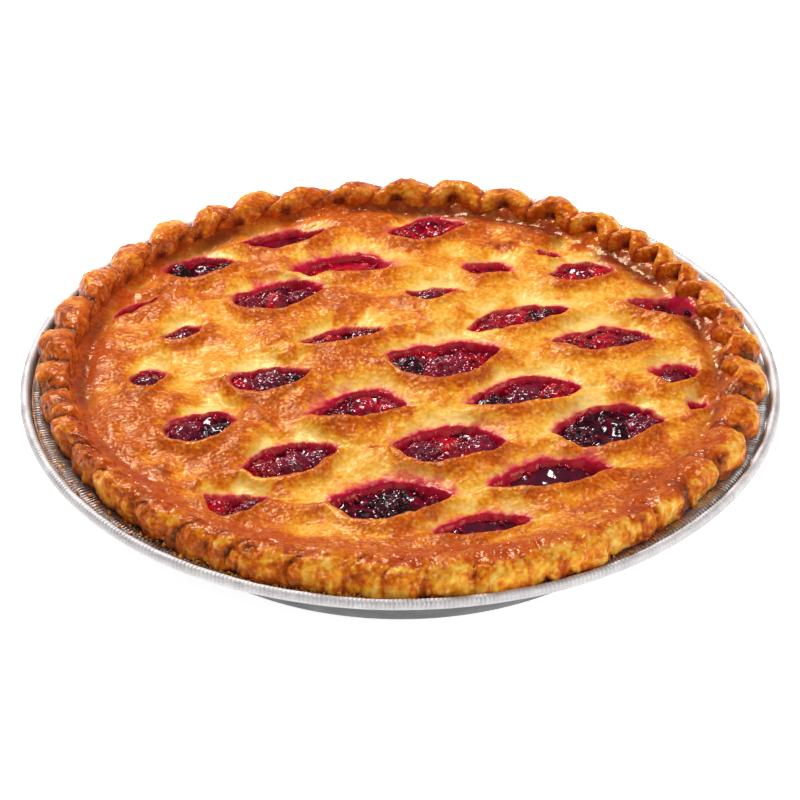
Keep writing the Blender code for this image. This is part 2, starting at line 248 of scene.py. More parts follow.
def domed_slab(places: Array, height: Array, cells: int, skirt: tuple[tuple[float, float], ...]) -> Shell:
    """A closed slab: a gridded disc on top, a skirt of (radius, height) rings under it, and a flat bottom.

    Args:
        places: Points of the disc's grid, from `disc_grid`.
        height: Their heights.
        cells: Cells along each side of the grid.
        skirt: Rings from the top down.

    Returns:
        The shell, whose first points are those of the top.
    """
    shell = Shell(np.column_stack([places, height]), [grid_faces(cells + 1, cells + 1)])
    n = cells + 1
    low = np.arange(n)
    ring = np.concatenate([low * n, (n - 1) * n + low[1:], low[::-1][1:] * n + n - 1, low[::-1][1:-1]])
    angle = np.arctan2(places[ring, 1], places[ring, 0])
    for radius, level in skirt:
        lower = shell.add_points(polar(radius, angle, level)) + np.arange(len(ring))
        shell.faces.append(np.stack([ring, lower, np.roll(lower, -1), np.roll(ring, -1)], axis=1))
        ring = lower
    middle = shell.add_points(np.array([[0.0, 0.0, skirt[-1][1]]]))
    shell.faces.append(np.stack([ring, np.full(len(ring), middle), np.roll(ring, -1)], axis=1))
    return shell


def turned_shell(radii: Array, heights: Array, steps: int) -> Shell:
    """A turned closed surface: rings of the profile, from the upper pole down the outside to the lower pole.

    Args:
        radii: Radius at each point of the profile, all above 0, or one row of them for each step.
        heights: Height at each point.
        steps: Points round each ring.

    Returns:
        The shell, whose first points run step by step along the profile, with two pole points after them.
    """
    angle = (TAU * np.arange(steps) / steps)[:, None]
    count = len(heights)
    sides = grid_faces(steps, count, wrap_rows=True)[:, ::-1]
    shell = Shell(polar(radii, angle, heights).reshape(-1, 3), [sides])
    top = shell.add_points(np.array([[0.0, 0.0, heights[0]], [0.0, 0.0, heights[-1]]]))
    first = np.arange(steps) * count
    last = first + count - 1
    shell.faces.append(np.stack([np.full(steps, top), first, np.roll(first, -1)], axis=1))
    shell.faces.append(np.stack([np.full(steps, top + 1), np.roll(last, -1), last], axis=1))
    return shell


def balls(centres: Array, sizes: Array, **masks: Array) -> Shell:
    """Many small balls of 80 faces each, in one shell.

    Args:
        centres: The middle of each ball.
        sizes: The radius of each ball, or its three half-widths.
        masks: The shell's masks, with one value for each ball.

    Returns:
        The shell, with the corners of each ball in a row.
    """
    shape = bmesh.new()
    bmesh.ops.create_icosphere(shape, subdivisions=2, radius=1.0)
    mesh = bpy.data.meshes.new("ball")
    shape.to_mesh(mesh)
    shape.free()
    corners = np.empty(3 * len(mesh.vertices))
    mesh.vertices.foreach_get("co", corners)
    corners = corners.reshape(-1, 3)
    faces = np.empty(len(mesh.loops), np.int32)
    mesh.loops.foreach_get("vertex_index", faces)
    bpy.data.meshes.remove(mesh)
    places = corners * sizes.reshape(len(sizes), 1, -1) + centres[:, None, :]
    starts = len(corners) * np.arange(len(centres))[:, None, None]
    spread = {name: np.repeat(values, len(corners)) for name, values in masks.items()}
    return Shell(places.reshape(-1, 3), [(faces.reshape(-1, 3) + starts).reshape(-1, 3)], spread)


# Materials


def tint(red: int, green: int, blue: int) -> tuple[float, float, float, float]:
    """Turn a colour as a picture shows it (0 to 255) into the linear light that a shader takes."""
    linear = [(c / 255 / 12.92) if c <= 10 else ((c / 255 + 0.055) / 1.055) ** 2.4 for c in (red, green, blue)]
    return (*linear, 1.0)


class NodeSheet:
    """A node tree that is built one node at a time."""

    def __init__(self, tree: Tree) -> None:
        """Keep the tree to build in."""
        self.tree = tree

    def feed(self, node: bpy.types.Node, values: Inputs) -> None:
        """Give a node its inputs.

        Args:
            node: The node.
            values: Its inputs, by name or number: a number, a colour or an output socket to link from.
        """
        for key, value in values.items():
            if isinstance(value, Socket):
                self.tree.links.new(value, node.inputs[key])
            else:
                node.inputs[key].default_value = value

    def add(self, kind: str, values: Inputs | None = None, **settings: object) -> bpy.types.Node:
        """Add a node.

        Args:
            kind: Blender's name of the node.
            values: Its inputs, as `feed` takes them.
            settings: Its own settings.

        Returns:
            The node.
        """
        node = self.tree.nodes.new(kind)
        for key, value in settings.items():
            setattr(node, key, value)
        self.feed(node, values or {})
        return node

    def math(self, operation: str, first: Value, second: Value, clamp: bool = False) -> Socket:
        """Combine two numbers."""
        values = {0: first, 1: second}
        return self.add("ShaderNodeMath", values, operation=operation, use_clamp=clamp).outputs[0]

    def plus(self, first: Value, second: Value) -> Socket:
        """Add two numbers."""
        return self.math("ADD", first, second)

    def times(self, first: Value, second: Value) -> Socket:
        """Multiply two numbers."""
        return self.math("MULTIPLY", first, second)

    def mix(self, share: Value, first: Value, second: Colour | Socket) -> Socket:
        """Mix two colours by a share."""
        values = {0: share, 6: first, 7: second if isinstance(second, Socket) else tint(*second)}
        return self.add("ShaderNodeMix", values, data_type="RGBA", clamp_factor=True).outputs[2]

    def span(self, value: Value, low: float, high: float, to_low: float = 0.0, to_high: float = 1.0) -> Socket:
        """Map a value from one range to another, held at its ends."""
        return self.add("ShaderNodeMapRange", {0: value, 1: low, 2: high, 3: to_low, 4: to_high}).outputs[0]

    def spread(self, value: Value, to_low: float, to_high: float) -> Socket:
        """Map a noise's usual range, 0.3 to 0.7, to another."""
        return self.span(value, 0.3, 0.7, to_low, to_high)

    def mask(self, name: str) -> Socket:
        """Read a mask that the mesh holds."""
        return self.add("ShaderNodeAttribute", attribute_name=name).outputs["Fac"]

    def grain(self, scale: Value, detail: float = 3.0, rough: float = 0.6) -> Socket:
        """Fractal noise on the object's own coordinates, between 0 and 1."""
        values = {"Vector": self.place(), "Scale": scale, "Detail": detail, "Roughness": rough}
        return self.add("ShaderNodeTexNoise", values).outputs["Fac"]

    def place(self) -> Socket:
        """The object's own coordinates."""
        return self.add("ShaderNodeTexCoord").outputs["Object"]

    def skin(self, grain: Tree, coarse: float, fine: float) -> tuple[Socket, Socket]:
        """Place the surface grain with its two scales, and return its mottle and its height."""
        node = self.add("ShaderNodeGroup", {"Coarse": coarse, "Fine": fine}, node_tree=grain)
        return node.outputs["Mottle"], node.outputs["Height"]

    def bump(self, height: Socket, strength: Value, distance: float) -> Socket:
        """Turn a height into a normal; the distance is in metres."""
        values = {"Height": height, "Strength": strength, "Distance": distance}
        return self.add("ShaderNodeBump", values).outputs[0]

    def ramp(self, value: Value, stops: tuple[tuple[float, Colour], ...]) -> Socket:
        """Turn a value into a colour.

        Args:
            value: The value.
            stops: Places along it, each with its colour.

        Returns:
            The colour.
        """
        node = self.add("ShaderNodeValToRGB", {0: value})
        elements = node.color_ramp.elements
        while len(elements) < len(stops):
            elements.new(0.5)
        for element, (place, colour) in zip(elements, stops):
            element.position = place
            element.color = tint(*colour)
        return node.outputs[0]


def new_group(name: str, inputs: dict[str, float], outputs: tuple) -> tuple[NodeSheet, bpy.types.Node]:
    """Start a node group with number sockets.

    Args:
        name: Name of the group.
        inputs: Its inputs and what they start at.
        outputs: Names of its outputs.

    Returns:
        Its sheet, and the node that gives its inputs.
    """
    group = bpy.data.node_groups.new(name, "ShaderNodeTree")
    for title, start in inputs.items():
        socket = group.interface.new_socket(title, in_out="INPUT", socket_type="NodeSocketFloat")
        socket.default_value = start
    for title in outputs:
        group.interface.new_socket(title, in_out="OUTPUT", socket_type="NodeSocketFloat")
    sheet = NodeSheet(group)
    return sheet, sheet.add("NodeGroupInput")


def surface_grain_group() -> Tree:
    """Node group for a baked or wet surface: mottling for its colour, and a height for its fine bumps.

    Returns:
        The group, with inputs Coarse and Fine (noise scales) and outputs Mottle and Height.
    """
    sheet, given = new_group("surface_grain", {"Coarse": 300.0, "Fine": 1400.0}, ("Mottle", "Height"))
    coarse = sheet.grain(given.outputs["Coarse"], 2.0, 0.7)
    fine = sheet.grain(given.outputs["Fine"], 0.0, 0.4)
    height = sheet.plus(sheet.times(coarse, 0.5), sheet.times(fine, 0.5))
    sheet.add("NodeGroupOutput", {"Mottle": coarse, "Height": height})
    return sheet.tree


def pulp_group() -> Tree:
    """Node group for crushed fruit: small round domes, each with its own tone.

    A dome's height is 1 - (d / 0.7)^2, where d is the distance to the nearest of many scattered middles.

    Returns:
        The group, with the input Scale and the outputs Tone and Height.
    """
    sheet, given = new_group("pulp_domes", {"Scale": 480.0}, ("Tone", "Height"))
    place = sheet.place()
    warp = sheet.add("ShaderNodeTexNoise", {"Vector": place, "Scale": 380.0, "Detail": 2.0}).outputs["Color"]
    shift = sheet.add("ShaderNodeVectorMath", {0: warp, 1: (0.0028, 0.0028, 0.0028)}, operation="MULTIPLY")
    moved = sheet.add("ShaderNodeVectorMath", {0: place, 1: shift.outputs[0]}, operation="ADD").outputs[0]
    cells = sheet.add("ShaderNodeTexVoronoi", {"Vector": moved, "Scale": given.outputs["Scale"]})
    tone = sheet.add("ShaderNodeSeparateColor", {0: cells.outputs["Color"]}).outputs[0]
    away = sheet.times(cells.outputs["Distance"], 1.43)
    height = sheet.math("SUBTRACT", 1.0, sheet.times(away, away), clamp=True)
    sheet.add("NodeGroupOutput", {"Tone": tone, "Height": height})
    return sheet.tree


@dataclass(frozen=True)
class Finish:
    """A finish, whose own class says what its shader takes. A relief is the depth of its bumps in metres."""

    name: str

    def look(self, sheet: NodeSheet) -> Inputs:
        """Build the nodes and return the shader's inputs."""
        raise NotImplementedError

    def material(self) -> bpy.types.Material:
        """Make the material.

        Returns:
            The material, with its nodes.
        """
        material = bpy.data.materials.new(self.name)
        material.use_nodes = True
        sheet = NodeSheet(material.node_tree)
        sheet.feed(material.node_tree.nodes["Principled BSDF"], self.look(sheet))
        return material


@dataclass(frozen=True)
class BakedPastry(Finish):
    """Egg-washed pastry: pale where it is thin or shaded, golden on its humps, glazed and stained by mask."""

    grain: Tree
    relief: float = 0.001

    BAKES = (
        (0.0, (250, 210, 124)), (0.25, (240, 176, 60)), (0.45, (226, 134, 24)), (0.62, (202, 88, 14)),
        (0.8, (156, 62, 12)), (1.0, (82, 28, 12)),
    )  # fmt: skip
    STAINS = ((0.0, (240, 168, 110)), (0.3, (222, 76, 88)), (0.5, (184, 8, 52)), (1.0, (96, 0, 28)))
    SPECK, GLAZE, POOL, SHEEN = (252, 216, 130), (184, 62, 14), (104, 32, 18), (255, 208, 132)

    def look(self, sheet: NodeSheet) -> Inputs:
        """Build the nodes; the masks are brown, glaze, pool, stain and coarse, which roughens it."""
        mottle, height = sheet.skin(self.grain, 330.0, 780.0)
        fleck = sheet.spread(mottle, -0.1, 0.1)
        shade = sheet.plus(sheet.mask("brown"), sheet.span(height, 0.32, 0.68, -0.12, 0.12))
        # Cream specks are painted highlights, strongest where the dough is paler.
        painted_glints = sheet.span(sheet.grain(620.0, 1.0, 0.5), 0.58, 0.7, 0.0, 0.4)
        painted_glints = sheet.times(painted_glints, sheet.span(shade, 0.45, 0.75, 1.0, 0.3))
        baked = sheet.mix(painted_glints, sheet.ramp(shade, self.BAKES), self.SPECK)
        glaze, pool = sheet.mask("glaze"), sheet.mask("pool")
        colour = sheet.mix(pool, sheet.mix(sheet.times(glaze, 0.75), baked, self.GLAZE), self.POOL)
        stain = sheet.plus(sheet.mask("stain"), fleck)
        colour = sheet.mix(sheet.span(stain, 0.04, 0.45), colour, sheet.ramp(stain, self.STAINS))
        wet = sheet.math("MAXIMUM", sheet.math("MAXIMUM", glaze, pool), sheet.span(stain, 0.4, 0.8))
        strength = sheet.span(sheet.mask("coarse"), 0.0, 1.0, 0.3, 0.7)
        return {
            "Base Color": colour,
            "Roughness": sheet.plus(sheet.span(wet, 0.0, 0.8, 0.36, 0.24), fleck),
            "Normal": sheet.bump(height, strength, self.relief),
            "Specular IOR Level": 0.34,
            "Specular Tint": tint(*self.SHEEN),
            "Coat Roughness": 0.12,
            "Coat Weight": sheet.span(wet, 0.0, 0.9, 0.0, 0.08),
        }


@dataclass(frozen=True)
class BerryJam(Finish):
    """Set jam: dark red to purple, very glossy, lumpy with crushed fruit except where it is clear jelly."""

    grain: Tree
    pulp: Tree
    relief: float = 0.0012

    DEPTHS = ((0.0, (36, 0, 18)), (0.3, (96, 0, 28)), (0.65, (152, 0, 34)), (1.0, (200, 6, 26)))
    SHEEN_PURPLE = (116, 26, 52)

    def look(self, sheet: NodeSheet) -> Inputs:
        """Build the nodes.

        The mask red runs from purple to bright red and dusk greys it: a painted reflection of the sky on clear
        jelly, and the dusky berries' own purple on them. clear marks jelly with no pulp, and fruit the berries
        whose beads swell it.
        """
        mottle, ripple = sheet.skin(self.grain, 190.0, 340.0)
        domes = sheet.add("ShaderNodeGroup", {"Scale": 330.0}, node_tree=self.pulp)
        lumpy = sheet.span(sheet.mask("fruit"), 0.2, 0.9, 0.05, 0.3)
        calm = sheet.span(sheet.mask("clear"), 0.0, 1.0, 0.6, 0.24)
        height = sheet.times(domes.outputs["Height"], lumpy)
        own = sheet.times(sheet.span(domes.outputs["Tone"], 0.0, 1.0, -0.14, 0.14), lumpy)
        tone = sheet.plus(sheet.plus(sheet.mask("red"), sheet.spread(mottle, -0.45, 0.4)), own)
        # Darker in the hollows between the domes and brighter on their tops: painted shade and light.
        tone = sheet.plus(tone, sheet.span(height, 0.0, 1.0, -0.12, 0.08))
        purple_and_sheen = sheet.times(sheet.mask("purple_and_sheen"), 0.6)
        return {
            "Base Color": sheet.mix(purple_and_sheen, sheet.ramp(tone, self.DEPTHS), self.SHEEN_PURPLE),
            "Roughness": sheet.spread(mottle, 0.05, 0.16),
            "Normal": sheet.bump(sheet.plus(height, sheet.times(ripple, calm)), 1.0, self.relief),
            "Specular IOR Level": 0.36,
            "Coat Weight": 0.1,
            "Coat Roughness": 0.05,
        }


@dataclass(frozen=True)
class BerrySkin(Finish):
    """Skin of one kind of berry, wet with jam."""

    grain: Tree
    deep: Colour
    bright: Colour
    roughness: float = 0.16
    relief: float = 0.0007

    def look(self, sheet: NodeSheet) -> Inputs:
        """Build the nodes: a mottle from the deep to the bright colour, tone by tone for each bead."""
        mottle, height = sheet.skin(self.grain, 420.0, 1300.0)
        tone = sheet.plus(sheet.mask("tone"), sheet.spread(mottle, -0.35, 0.35))
        return {
            "Base Color": sheet.ramp(tone, ((0.1, self.deep), (0.9, self.bright))),
            "Roughness": sheet.spread(mottle, self.roughness - 0.06, self.roughness + 0.12),
            "Normal": sheet.bump(height, 0.4, self.relief),
            "Specular IOR Level": 0.5,
            "Coat Weight": 0.1,
            "Coat Roughness": 0.06,
        }


@dataclass(frozen=True)
class PressedFoil(Finish):
    """Thin bright foil: silver, softly crinkled, with painted shade and a brown tint where its masks say."""

    grain: Tree
    relief: float = 0.0006

    SILVERS = ((0.3, (206, 202, 202)), (0.7, (236, 233, 232)))
    # The shade colour paints shade; the brown one paints the crust's reflection in the groove.
    SHADE, BAKED_ON = (48, 45, 53), (124, 84, 54)

    def look(self, sheet: NodeSheet) -> Inputs:
        """Build the nodes; the mask tarnish tints it brown, shade paints shade and dark reflections, and matte
        the bead.
        """
        mottle, height = sheet.skin(self.grain, 90.0, 900.0)
        shaded = sheet.mix(sheet.mask("shade"), sheet.ramp(mottle, self.SILVERS), self.SHADE)
        tinted = sheet.times(sheet.mask("brown_tint"), sheet.span(mottle, 0.25, 0.6, 0.6, 1.0))
        dull = sheet.span(sheet.mask("matte"), 0.0, 1.0, 0.0, 0.34)
        return {
            "Base Color": sheet.mix(tinted, shaded, self.BAKED_ON),
            "Roughness": sheet.plus(sheet.spread(mottle, 0.34, 0.46), dull),
            "Normal": sheet.bump(height, 0.25, self.relief),
            "Metallic": 1.0,
        }


@dataclass(frozen=True)
class PaleFloor(Finish):
    """The studio's pale, dull floor, faintly lit from within so that it stays near white."""

    PALES = ((0.3, (250, 250, 250)), (0.7, (254, 254, 254)))

    def look(self, sheet: NodeSheet) -> Inputs:
        """Build the nodes: a slow, faint mottle."""
        return {
            "Base Color": sheet.ramp(sheet.grain(4.0), self.PALES),
            "Roughness": 0.9,
            "Emission Color": WHITE,
            "Emission Strength": 0.85,
        }


# The slits of the lid


@dataclass(frozen=True)
class Slit:
    """A slit of the lid, pulled open into a lens.

    Its places are millimetres: the centre, half the length, the reach to the far and to the near side, and the
    slant in degrees. stain is how far the juice has coloured its lips, red how red its jam is, and fruit the
    berries in it from left to right.
    """

    x: float
    y: float
    half_length: float
    far: float
    near: float
    slant: float
    stain: float
    red: float
    fruit: str

    SHEAR = 0.22
    SHARPNESS = 1.6

    def axes(self) -> tuple[Array, Array]:
        """The unit vectors along and across the slit."""
        turn = math.radians(self.slant)
        return np.array([math.cos(turn), math.sin(turn)]), np.array([-math.sin(turn), math.cos(turn)])

    def place(self, u: Array, v: Array) -> Array:
        """The points at u along the slit, before its shear, and v across it."""
        along, across = self.axes()
        u = u + self.SHEAR * v
        return np.array([self.x, self.y]) + np.multiply.outer(u, along) + np.multiply.outer(v, across)

    def outline(self, count: int) -> Array:
        """Trace the lens: u = L cos a along it and v = reach * sign(sin a) |sin a|^sharpness across it.

        Args:
            count: Number of points.

        Returns:
            The points.
        """
        a = TAU * np.arange(count) / count
        reach = np.where(np.sin(a) > 0, self.far, self.near)
        v = reach * np.sign(np.sin(a)) * np.abs(np.sin(a)) ** self.SHARPNESS
        return self.place(self.half_length * np.cos(a), v)

    def local(self, places: Array) -> tuple[Array, Array]:
        """Coordinates along and across the slit, with its shear taken out."""
        (along, v) = ((places - np.array([self.x, self.y])) @ axis for axis in self.axes())
        return along - self.SHEAR * v, v

    def opening(self, u: Array) -> Array:
        """How open the slit is at a place along it: (1 - (u / L)^2)^(sharpness / 2), and 0 past its ends."""
        return np.maximum(1.0 - (u / self.half_length) ** 2, 0.0) ** (0.5 * self.SHARPNESS)


SLITS = tuple(Slit(*row) for row in (
    (25.0, -85.9, 15.8, 7.6, 5.0, 13, 0.6, 0.2, ""), (-3.0, -72.5, 18.8, 9.6, 10.6, 4, 1.0, 0.35, "d"),
    (46.8, -60.6, 19.6, 10.0, 4.6, 15, 0.8, 0.05, ""), (-50.4, -71.0, 10.2, 3.2, 10.2, -6, 0.35, 0.5, "rp"),
    (-34.2, -51.6, 15.4, 9.4, 9.0, 14, 0.35, 0.5, "rpp"), (15.4, -44.7, 17.5, 11.4, 9.4, 4, 0.6, 0.6, "prp"),
    (65.6, -32.6, 18.5, 13.0, 10.0, 17, 0.4, 0.2, "dp"), (-62.5, -32.3, 11.8, 9.2, 11.2, -1, 0.3, 0.35, "pd"),
    (-13.0, -27.1, 15.0, 12.6, 4.3, 8, 0.8, 0.35, "prr"), (39.6, -18.0, 19.0, 12.0, 4.6, 16, 0.5, 0.45, "dpr"),
    (88.0, 0.3, 7.8, 5.6, 8.0, 16, 0.6, 0.45, "p"), (94.0, -17.6, 3.2, 2.8, 2.8, 0, 0.5, 0.3, ""),
    (-80.6, -3.6, 6.6, 6.4, 6.4, 8, 0.3, 0.35, "p"), (-41.0, -4.2, 14.0, 4.4, 12.0, 3, 0.35, 0.45, "rpd"),
    (14.0, 6.0, 18.6, 7.4, 15.8, 8, 0.7, 0.6, "dpr"), (66.2, 16.6, 16.8, 9.6, 6.4, 9, 0.4, 0.5, "rrp"),
    (-71.0, 22.3, 7.6, 4.6, 4.6, 24, 0.2, 0.35, "p"), (-18.0, 16.7, 14.8, 6.0, 4.6, 18, 0.3, 0.35, "rp"),
    (38.3, 28.4, 18.8, 9.0, 4.9, 22, 0.25, 0.6, "rrd"), (86.0, 38.8, 12.8, 8.8, 4.8, -19, 0.4, 0.4, "rd"),
    (-86.5, 39.8, 9.4, 3.4, 2.6, 40, 0.2, 0.5, ""), (-40.6, 43.6, 15.6, 8.8, 11.0, 7, 0.6, 0.6, "prp"),
    (9.8, 44.2, 9.2, 4.4, 6.0, 3, 0.3, 0.45, "p"), (60.4, 58.8, 11.8, 10.8, 4.9, 15, 0.4, 0.55, "rr"),
    (-66.4, 64.6, 13.4, 8.0, 9.0, 2, 0.3, 0.25, "dd"), (-18.3, 59.2, 15.8, 13.6, 3.6, 0, 0.8, 0.8, ""),
    (29.0, 59.0, 8.6, 8.4, 4.4, -14, 0.4, 0.6, ""), (49.5, 73.4, 4.6, 3.2, 2.8, -20, 0.2, 0.4, ""),
    (-40.0, 83.8, 15.8, 4.6, 8.0, 14, 0.4, 0.5, ""), (8.8, 87.6, 13.6, 10.0, 8.6, 17, 0.5, 0.6, "rr"),
))  # fmt: skip


@dataclass
class Gaps:
    """Where each point of the lid lies against the slits.

    gap is the distance to the nearest slit's edge, below 0 inside it. low is how many millimetres the slits'
    lips lower the dough there. The others run from 0 to 1: wall down a slit's side, ridge on the hump in front
    of it, pale on the slope behind its far lip, whose paler colour is painted light, tip in the crease that
    runs on from its ends, juice where it has stained the dough, red for its jam's colour, clear where its jam
    is jelly without fruit.
    """

    gap: Array
    low: Array
    wall: Array
    ridge: Array
    pale: Array
    tip: Array
    juice: Array
    red: Array
    clear: Array


def ring_distance(places: Array, ring: Array) -> Array:
    """Signed distance to a closed line: the shortest way to any of its sides, and below 0 inside.

    A place is inside if a ray from it along +X crosses an odd number of sides.

    Args:
        places: The points to measure.
        ring: The line's points.

    Returns:
        One distance for each place.
    """
    after = np.roll(ring, -1, axis=0)
    run = after - ring
    offset = places[:, None, :] - ring[None, :, :]
    share = np.clip((offset * run).sum(axis=2) / (run * run).sum(axis=1), 0.0, 1.0)
    away = np.sqrt(((offset - share[..., None] * run) ** 2).sum(axis=2)).min(axis=1)
    y = places[:, 1:2]
    above = (ring[:, 1] > y) != (after[:, 1] > y)
    rise = np.where(run[:, 1] == 0.0, 1.0, run[:, 1])
    crossing = places[:, 0:1] < ring[:, 0] + (y - ring[:, 1]) / rise * run[:, 0]
    return np.where((above & crossing).sum(axis=1) % 2 == 1, -away, away)


@dataclass
class LidShape:
    """Sizes of the lid, and its height at any place. All of them are millimetres."""

    radius: float = 107.6
    centre_height: float = 38.0
    drop: float = 4.6
    jam_depth: float = 3.7
    puff: float = 0.9
    wander: float = 0.9
    far_depth: float = 2.8
    far_reach: float = 7.0
    near_depth: float = 2.0
    near_reach: float = 1.7
    ridge_height: float = 2.1
    ridge_place: float = 3.8
    ridge_width: float = 3.4
    pale_reach: float = 6.0
    run_on: float = 15.0
    crease_width: float = 1.2
    crease_depth: float = 0.8
    wall: float = 5.4
    groove_radius: float = 101.5
    reach: float = 18.0
    outline_points: int = 64

    def dome(self, places: Array) -> Array:
        """The smooth dome: centre height - drop * (r / 100)^2."""
        return self.centre_height - self.drop * (np.hypot(places[:, 0], places[:, 1]) / 100.0) ** 2

    def gaps(self, places: Array) -> Gaps:
        """Measure every point against the slits, whose edges wander by a little noise.

        A slit lowers the dough behind it by far depth * exp(-(b / far reach)^2), with b the way behind its far
        lip, and in front of it by near depth * exp(-(c / near reach)^2), with c the way before its near lip,
        where its ridge stands too. A wall is full at its slope's width inside the edge, and on the far side
        that slope grows with the stain.

        Args:
            places: The points.

        Returns:
            What `Gaps` names, for each point.
        """
        octaves = [((1.0, 6.0, s), (0.5, 3.0, s + 17), (0.25, 1.5, s + 34)) for s in (3, 8)]
        moved = places + self.wander * np.stack([layers(places, *rows) for rows in octaves], axis=1)
        streak = layers(places, (1.0, 4.2, 74), (0.5, 1.9, 73))
        found = Gaps(np.full(len(places), self.reach), *np.zeros((8, len(places))))
        for slit in SLITS:
            away = np.hypot(moved[:, 0] - slit.x, moved[:, 1] - slit.y)
            place = np.flatnonzero(away < slit.half_length + self.reach)
            u, v = slit.local(moved[place])
            gap = ring_distance(moved[place], slit.outline(self.outline_points))
            opening = slit.opening(u)
            past_end = np.abs(u) / slit.half_length
            behind = np.maximum(v - slit.far * opening, 0.0)
            before = np.maximum(-v - slit.near * opening, 0.0)
            side = smooth(0.5 + v / 3.0)
            far = smooth(1.45 - past_end) * side
            near = smooth(1.45 - past_end) * (1.0 - side)
            found.low[place] += far * self.far_depth * hump(behind, self.far_reach)
            found.low[place] += near * self.near_depth * hump(before, self.near_reach)
            swell = smooth(1.6 - past_end) * smooth((slit.far + slit.near) / 15.0)
            run_on = smooth(1.0 - np.maximum(np.abs(u) - slit.half_length, 0.0) / self.run_on)
            bleed = np.maximum((0.3 + 2.3 * side) * slit.stain * (1.0 + 0.5 * streak[place]), 0.3)
            outside = np.exp(-((np.maximum(gap, 0.0) / bleed) ** 1.2)) * (0.34 + 0.3 * slit.stain)
            inside = 0.46 * smooth(1.0 - gap / 0.7) + 0.36 * smooth(-gap / 4.0)
            for mask, values in (
                (found.wall, smooth(-gap / blend(1.9, 1.6 + 2.2 * slit.stain, side))),
                (found.ridge, (1.0 - side) * swell * hump(before - self.ridge_place, self.ridge_width)),
                (found.pale, far * hump(behind, self.pale_reach)),
                (found.tip, run_on * (1.0 - np.sqrt(opening)) * hump(v, self.crease_width)),
                (found.juice, np.maximum(outside, inside)),
            ):
                mask[place] = np.maximum(mask[place], values)
            closer = gap < found.gap[place]
            found.gap[place[closer]] = gap[closer]
            found.red[place[closer]] = slit.red
            found.clear[place[closer]] = float(len(slit.fruit) == 0)
        return found

    def relief(self, places: Array, gaps: Gaps) -> Array:
        """Height over the dome: puffed dough and its ridges, less the lips, creases and the slits' walls, plus
        lumps, which are higher on the left, flaky leaves and grain.

        Args:
            places: The points.
            gaps: How they lie against the slits.

        Returns:
            The height at each point.
        """
        fallen = gaps.low + gaps.tip * self.crease_depth + self.wall * gaps.wall
        left = smooth(0.2 - places[:, 0] / 60.0)
        lumps = (1.0 + 0.6 * left) * noise(places, 19.0, 31) + (0.75 + 0.5 * left) * noise(places, 9.5, 32)
        lumps += 0.28 * noise(places, 4.6, 33)
        fine = layers(places, (0.2, 2.4, 34), (0.14, 1.3, 35)) * (1.0 - 0.35 * left)
        torn = np.maximum(smooth(2.2 * noise(places, 17.0, 36) + 0.2), 2.4 * torn_places(places))
        leaves = 0.7 * (flakes(places, 6.0, 37) - 0.5) * torn
        calm = smooth((gaps.gap + 0.5) / 6.0)
        return self.puff + self.ridge_height * gaps.ridge - fallen + (lumps + leaves) * calm + fine * 0.7

    def height(self, places: Array, gaps: Gaps) -> Array:
        """The lid's top: the dome and its relief, a groove inside the crimped edge and a rise against it.

        Args:
            places: The points.
            gaps: How they lie against the slits.

        Returns:
            The height at each point.
        """
        radius = np.hypot(places[:, 0], places[:, 1])
        front = smooth(-0.1 - 1.4 * places[:, 1] / np.maximum(radius, 1.0))
        calm = smooth((104.0 - radius) / 9.0)
        groove = 0.9 * (1.0 - front) * hump(radius - self.groove_radius, 2.6)
        rise = 2.2 * smooth((radius - 99.5) / 6.0) + 2.6 * front * smooth((radius - 92.5) / 9.0)
        settled = layers(places, (0.5, 4.0, 41), (0.2, 1.8, 42))
        return self.dome(places) + self.relief(places, gaps) * calm - groove + rise + settled * (1.0 - calm)


# Marks on the dough

TORN = ((-75.0, -55.0, 9.0), (-83.0, -18.0, 7.0), (-62.0, -64.0, 6.0), (30.0, -97.0, 7.0), (76.0, -66.0, 8.0))

BURNT = (
    (34.0, 75.0, 5.6, 0.42), (72.0, 70.0, 6.0, 0.42), (84.0, 56.0, 6.0, 0.42), (96.0, 30.0, 4.0, 0.3),
    (48.0, 15.0, 1.8, 0.35), (-9.0, -47.0, 1.6, 0.35), (60.0, 79.0, 5.0, 0.36), (45.0, 88.0, 4.6, 0.3),
)  # fmt: skip


def torn_places(places: Array) -> Array:
    """How strongly the dough's top leaf is torn at a place. TORN holds the x, y and size of each tear."""
    wander = 2.0 * noise(places, 4.0, 62)
    away = [(np.hypot(places[:, 0] - x, places[:, 1] - y) + wander) / size for x, y, size in TORN]
    return smooth(1.6 - 1.6 * np.min(away, axis=0))


def burnt_spots(places: Array) -> Array:
    """Darkened patches, each a soft round spot. BURNT holds their x, y, size and strength."""
    wander = 1.2 * noise(places, 2.5, 61)
    away = [(np.hypot(places[:, 0] - x, (places[:, 1] - y) * 1.4) + wander) / size for x, y, size, _ in BURNT]
    return sum(spot[3] * smooth(1.3 - share) for spot, share in zip(BURNT, away))


def glaze_round_edge(places: Array) -> Array:
    """How thickly the red-brown glaze lies: a ring inside the crimped edge, in patches that noise breaks up.

    Args:
        places: The points.

    Returns:
        From 0 for bare dough to about 1.
    """
    edge = 93.5 + 4.5 * smooth(-places[:, 1] / 90.0) + layers(places, (3.5, 16.0, 51), (2.0, 6.0, 52))
    front = smooth(-0.3 - 1.2 * places[:, 1] / 100.0)
    broken = smooth(0.45 + 1.1 * noise(places, 8.0, 54))
    patches = blend(0.8 + 0.25 * noise(places, 5.0, 53), broken, 0.7 * front)
    return smooth((np.hypot(places[:, 0], places[:, 1]) - edge) / 7.0) * patches


# The pieces


class Piece:
    """A piece of the pie that shows, made from the shell that its own class works out."""

    name = "piece"

    def shell(self) -> Shell:
        """Work out the closed surface and its masks."""
        raise NotImplementedError

    def build(self, finish: bpy.types.Material) -> bpy.types.Object:
        """Make the piece's object in its finish."""
        return self.shell().to_object(self.name, finish)


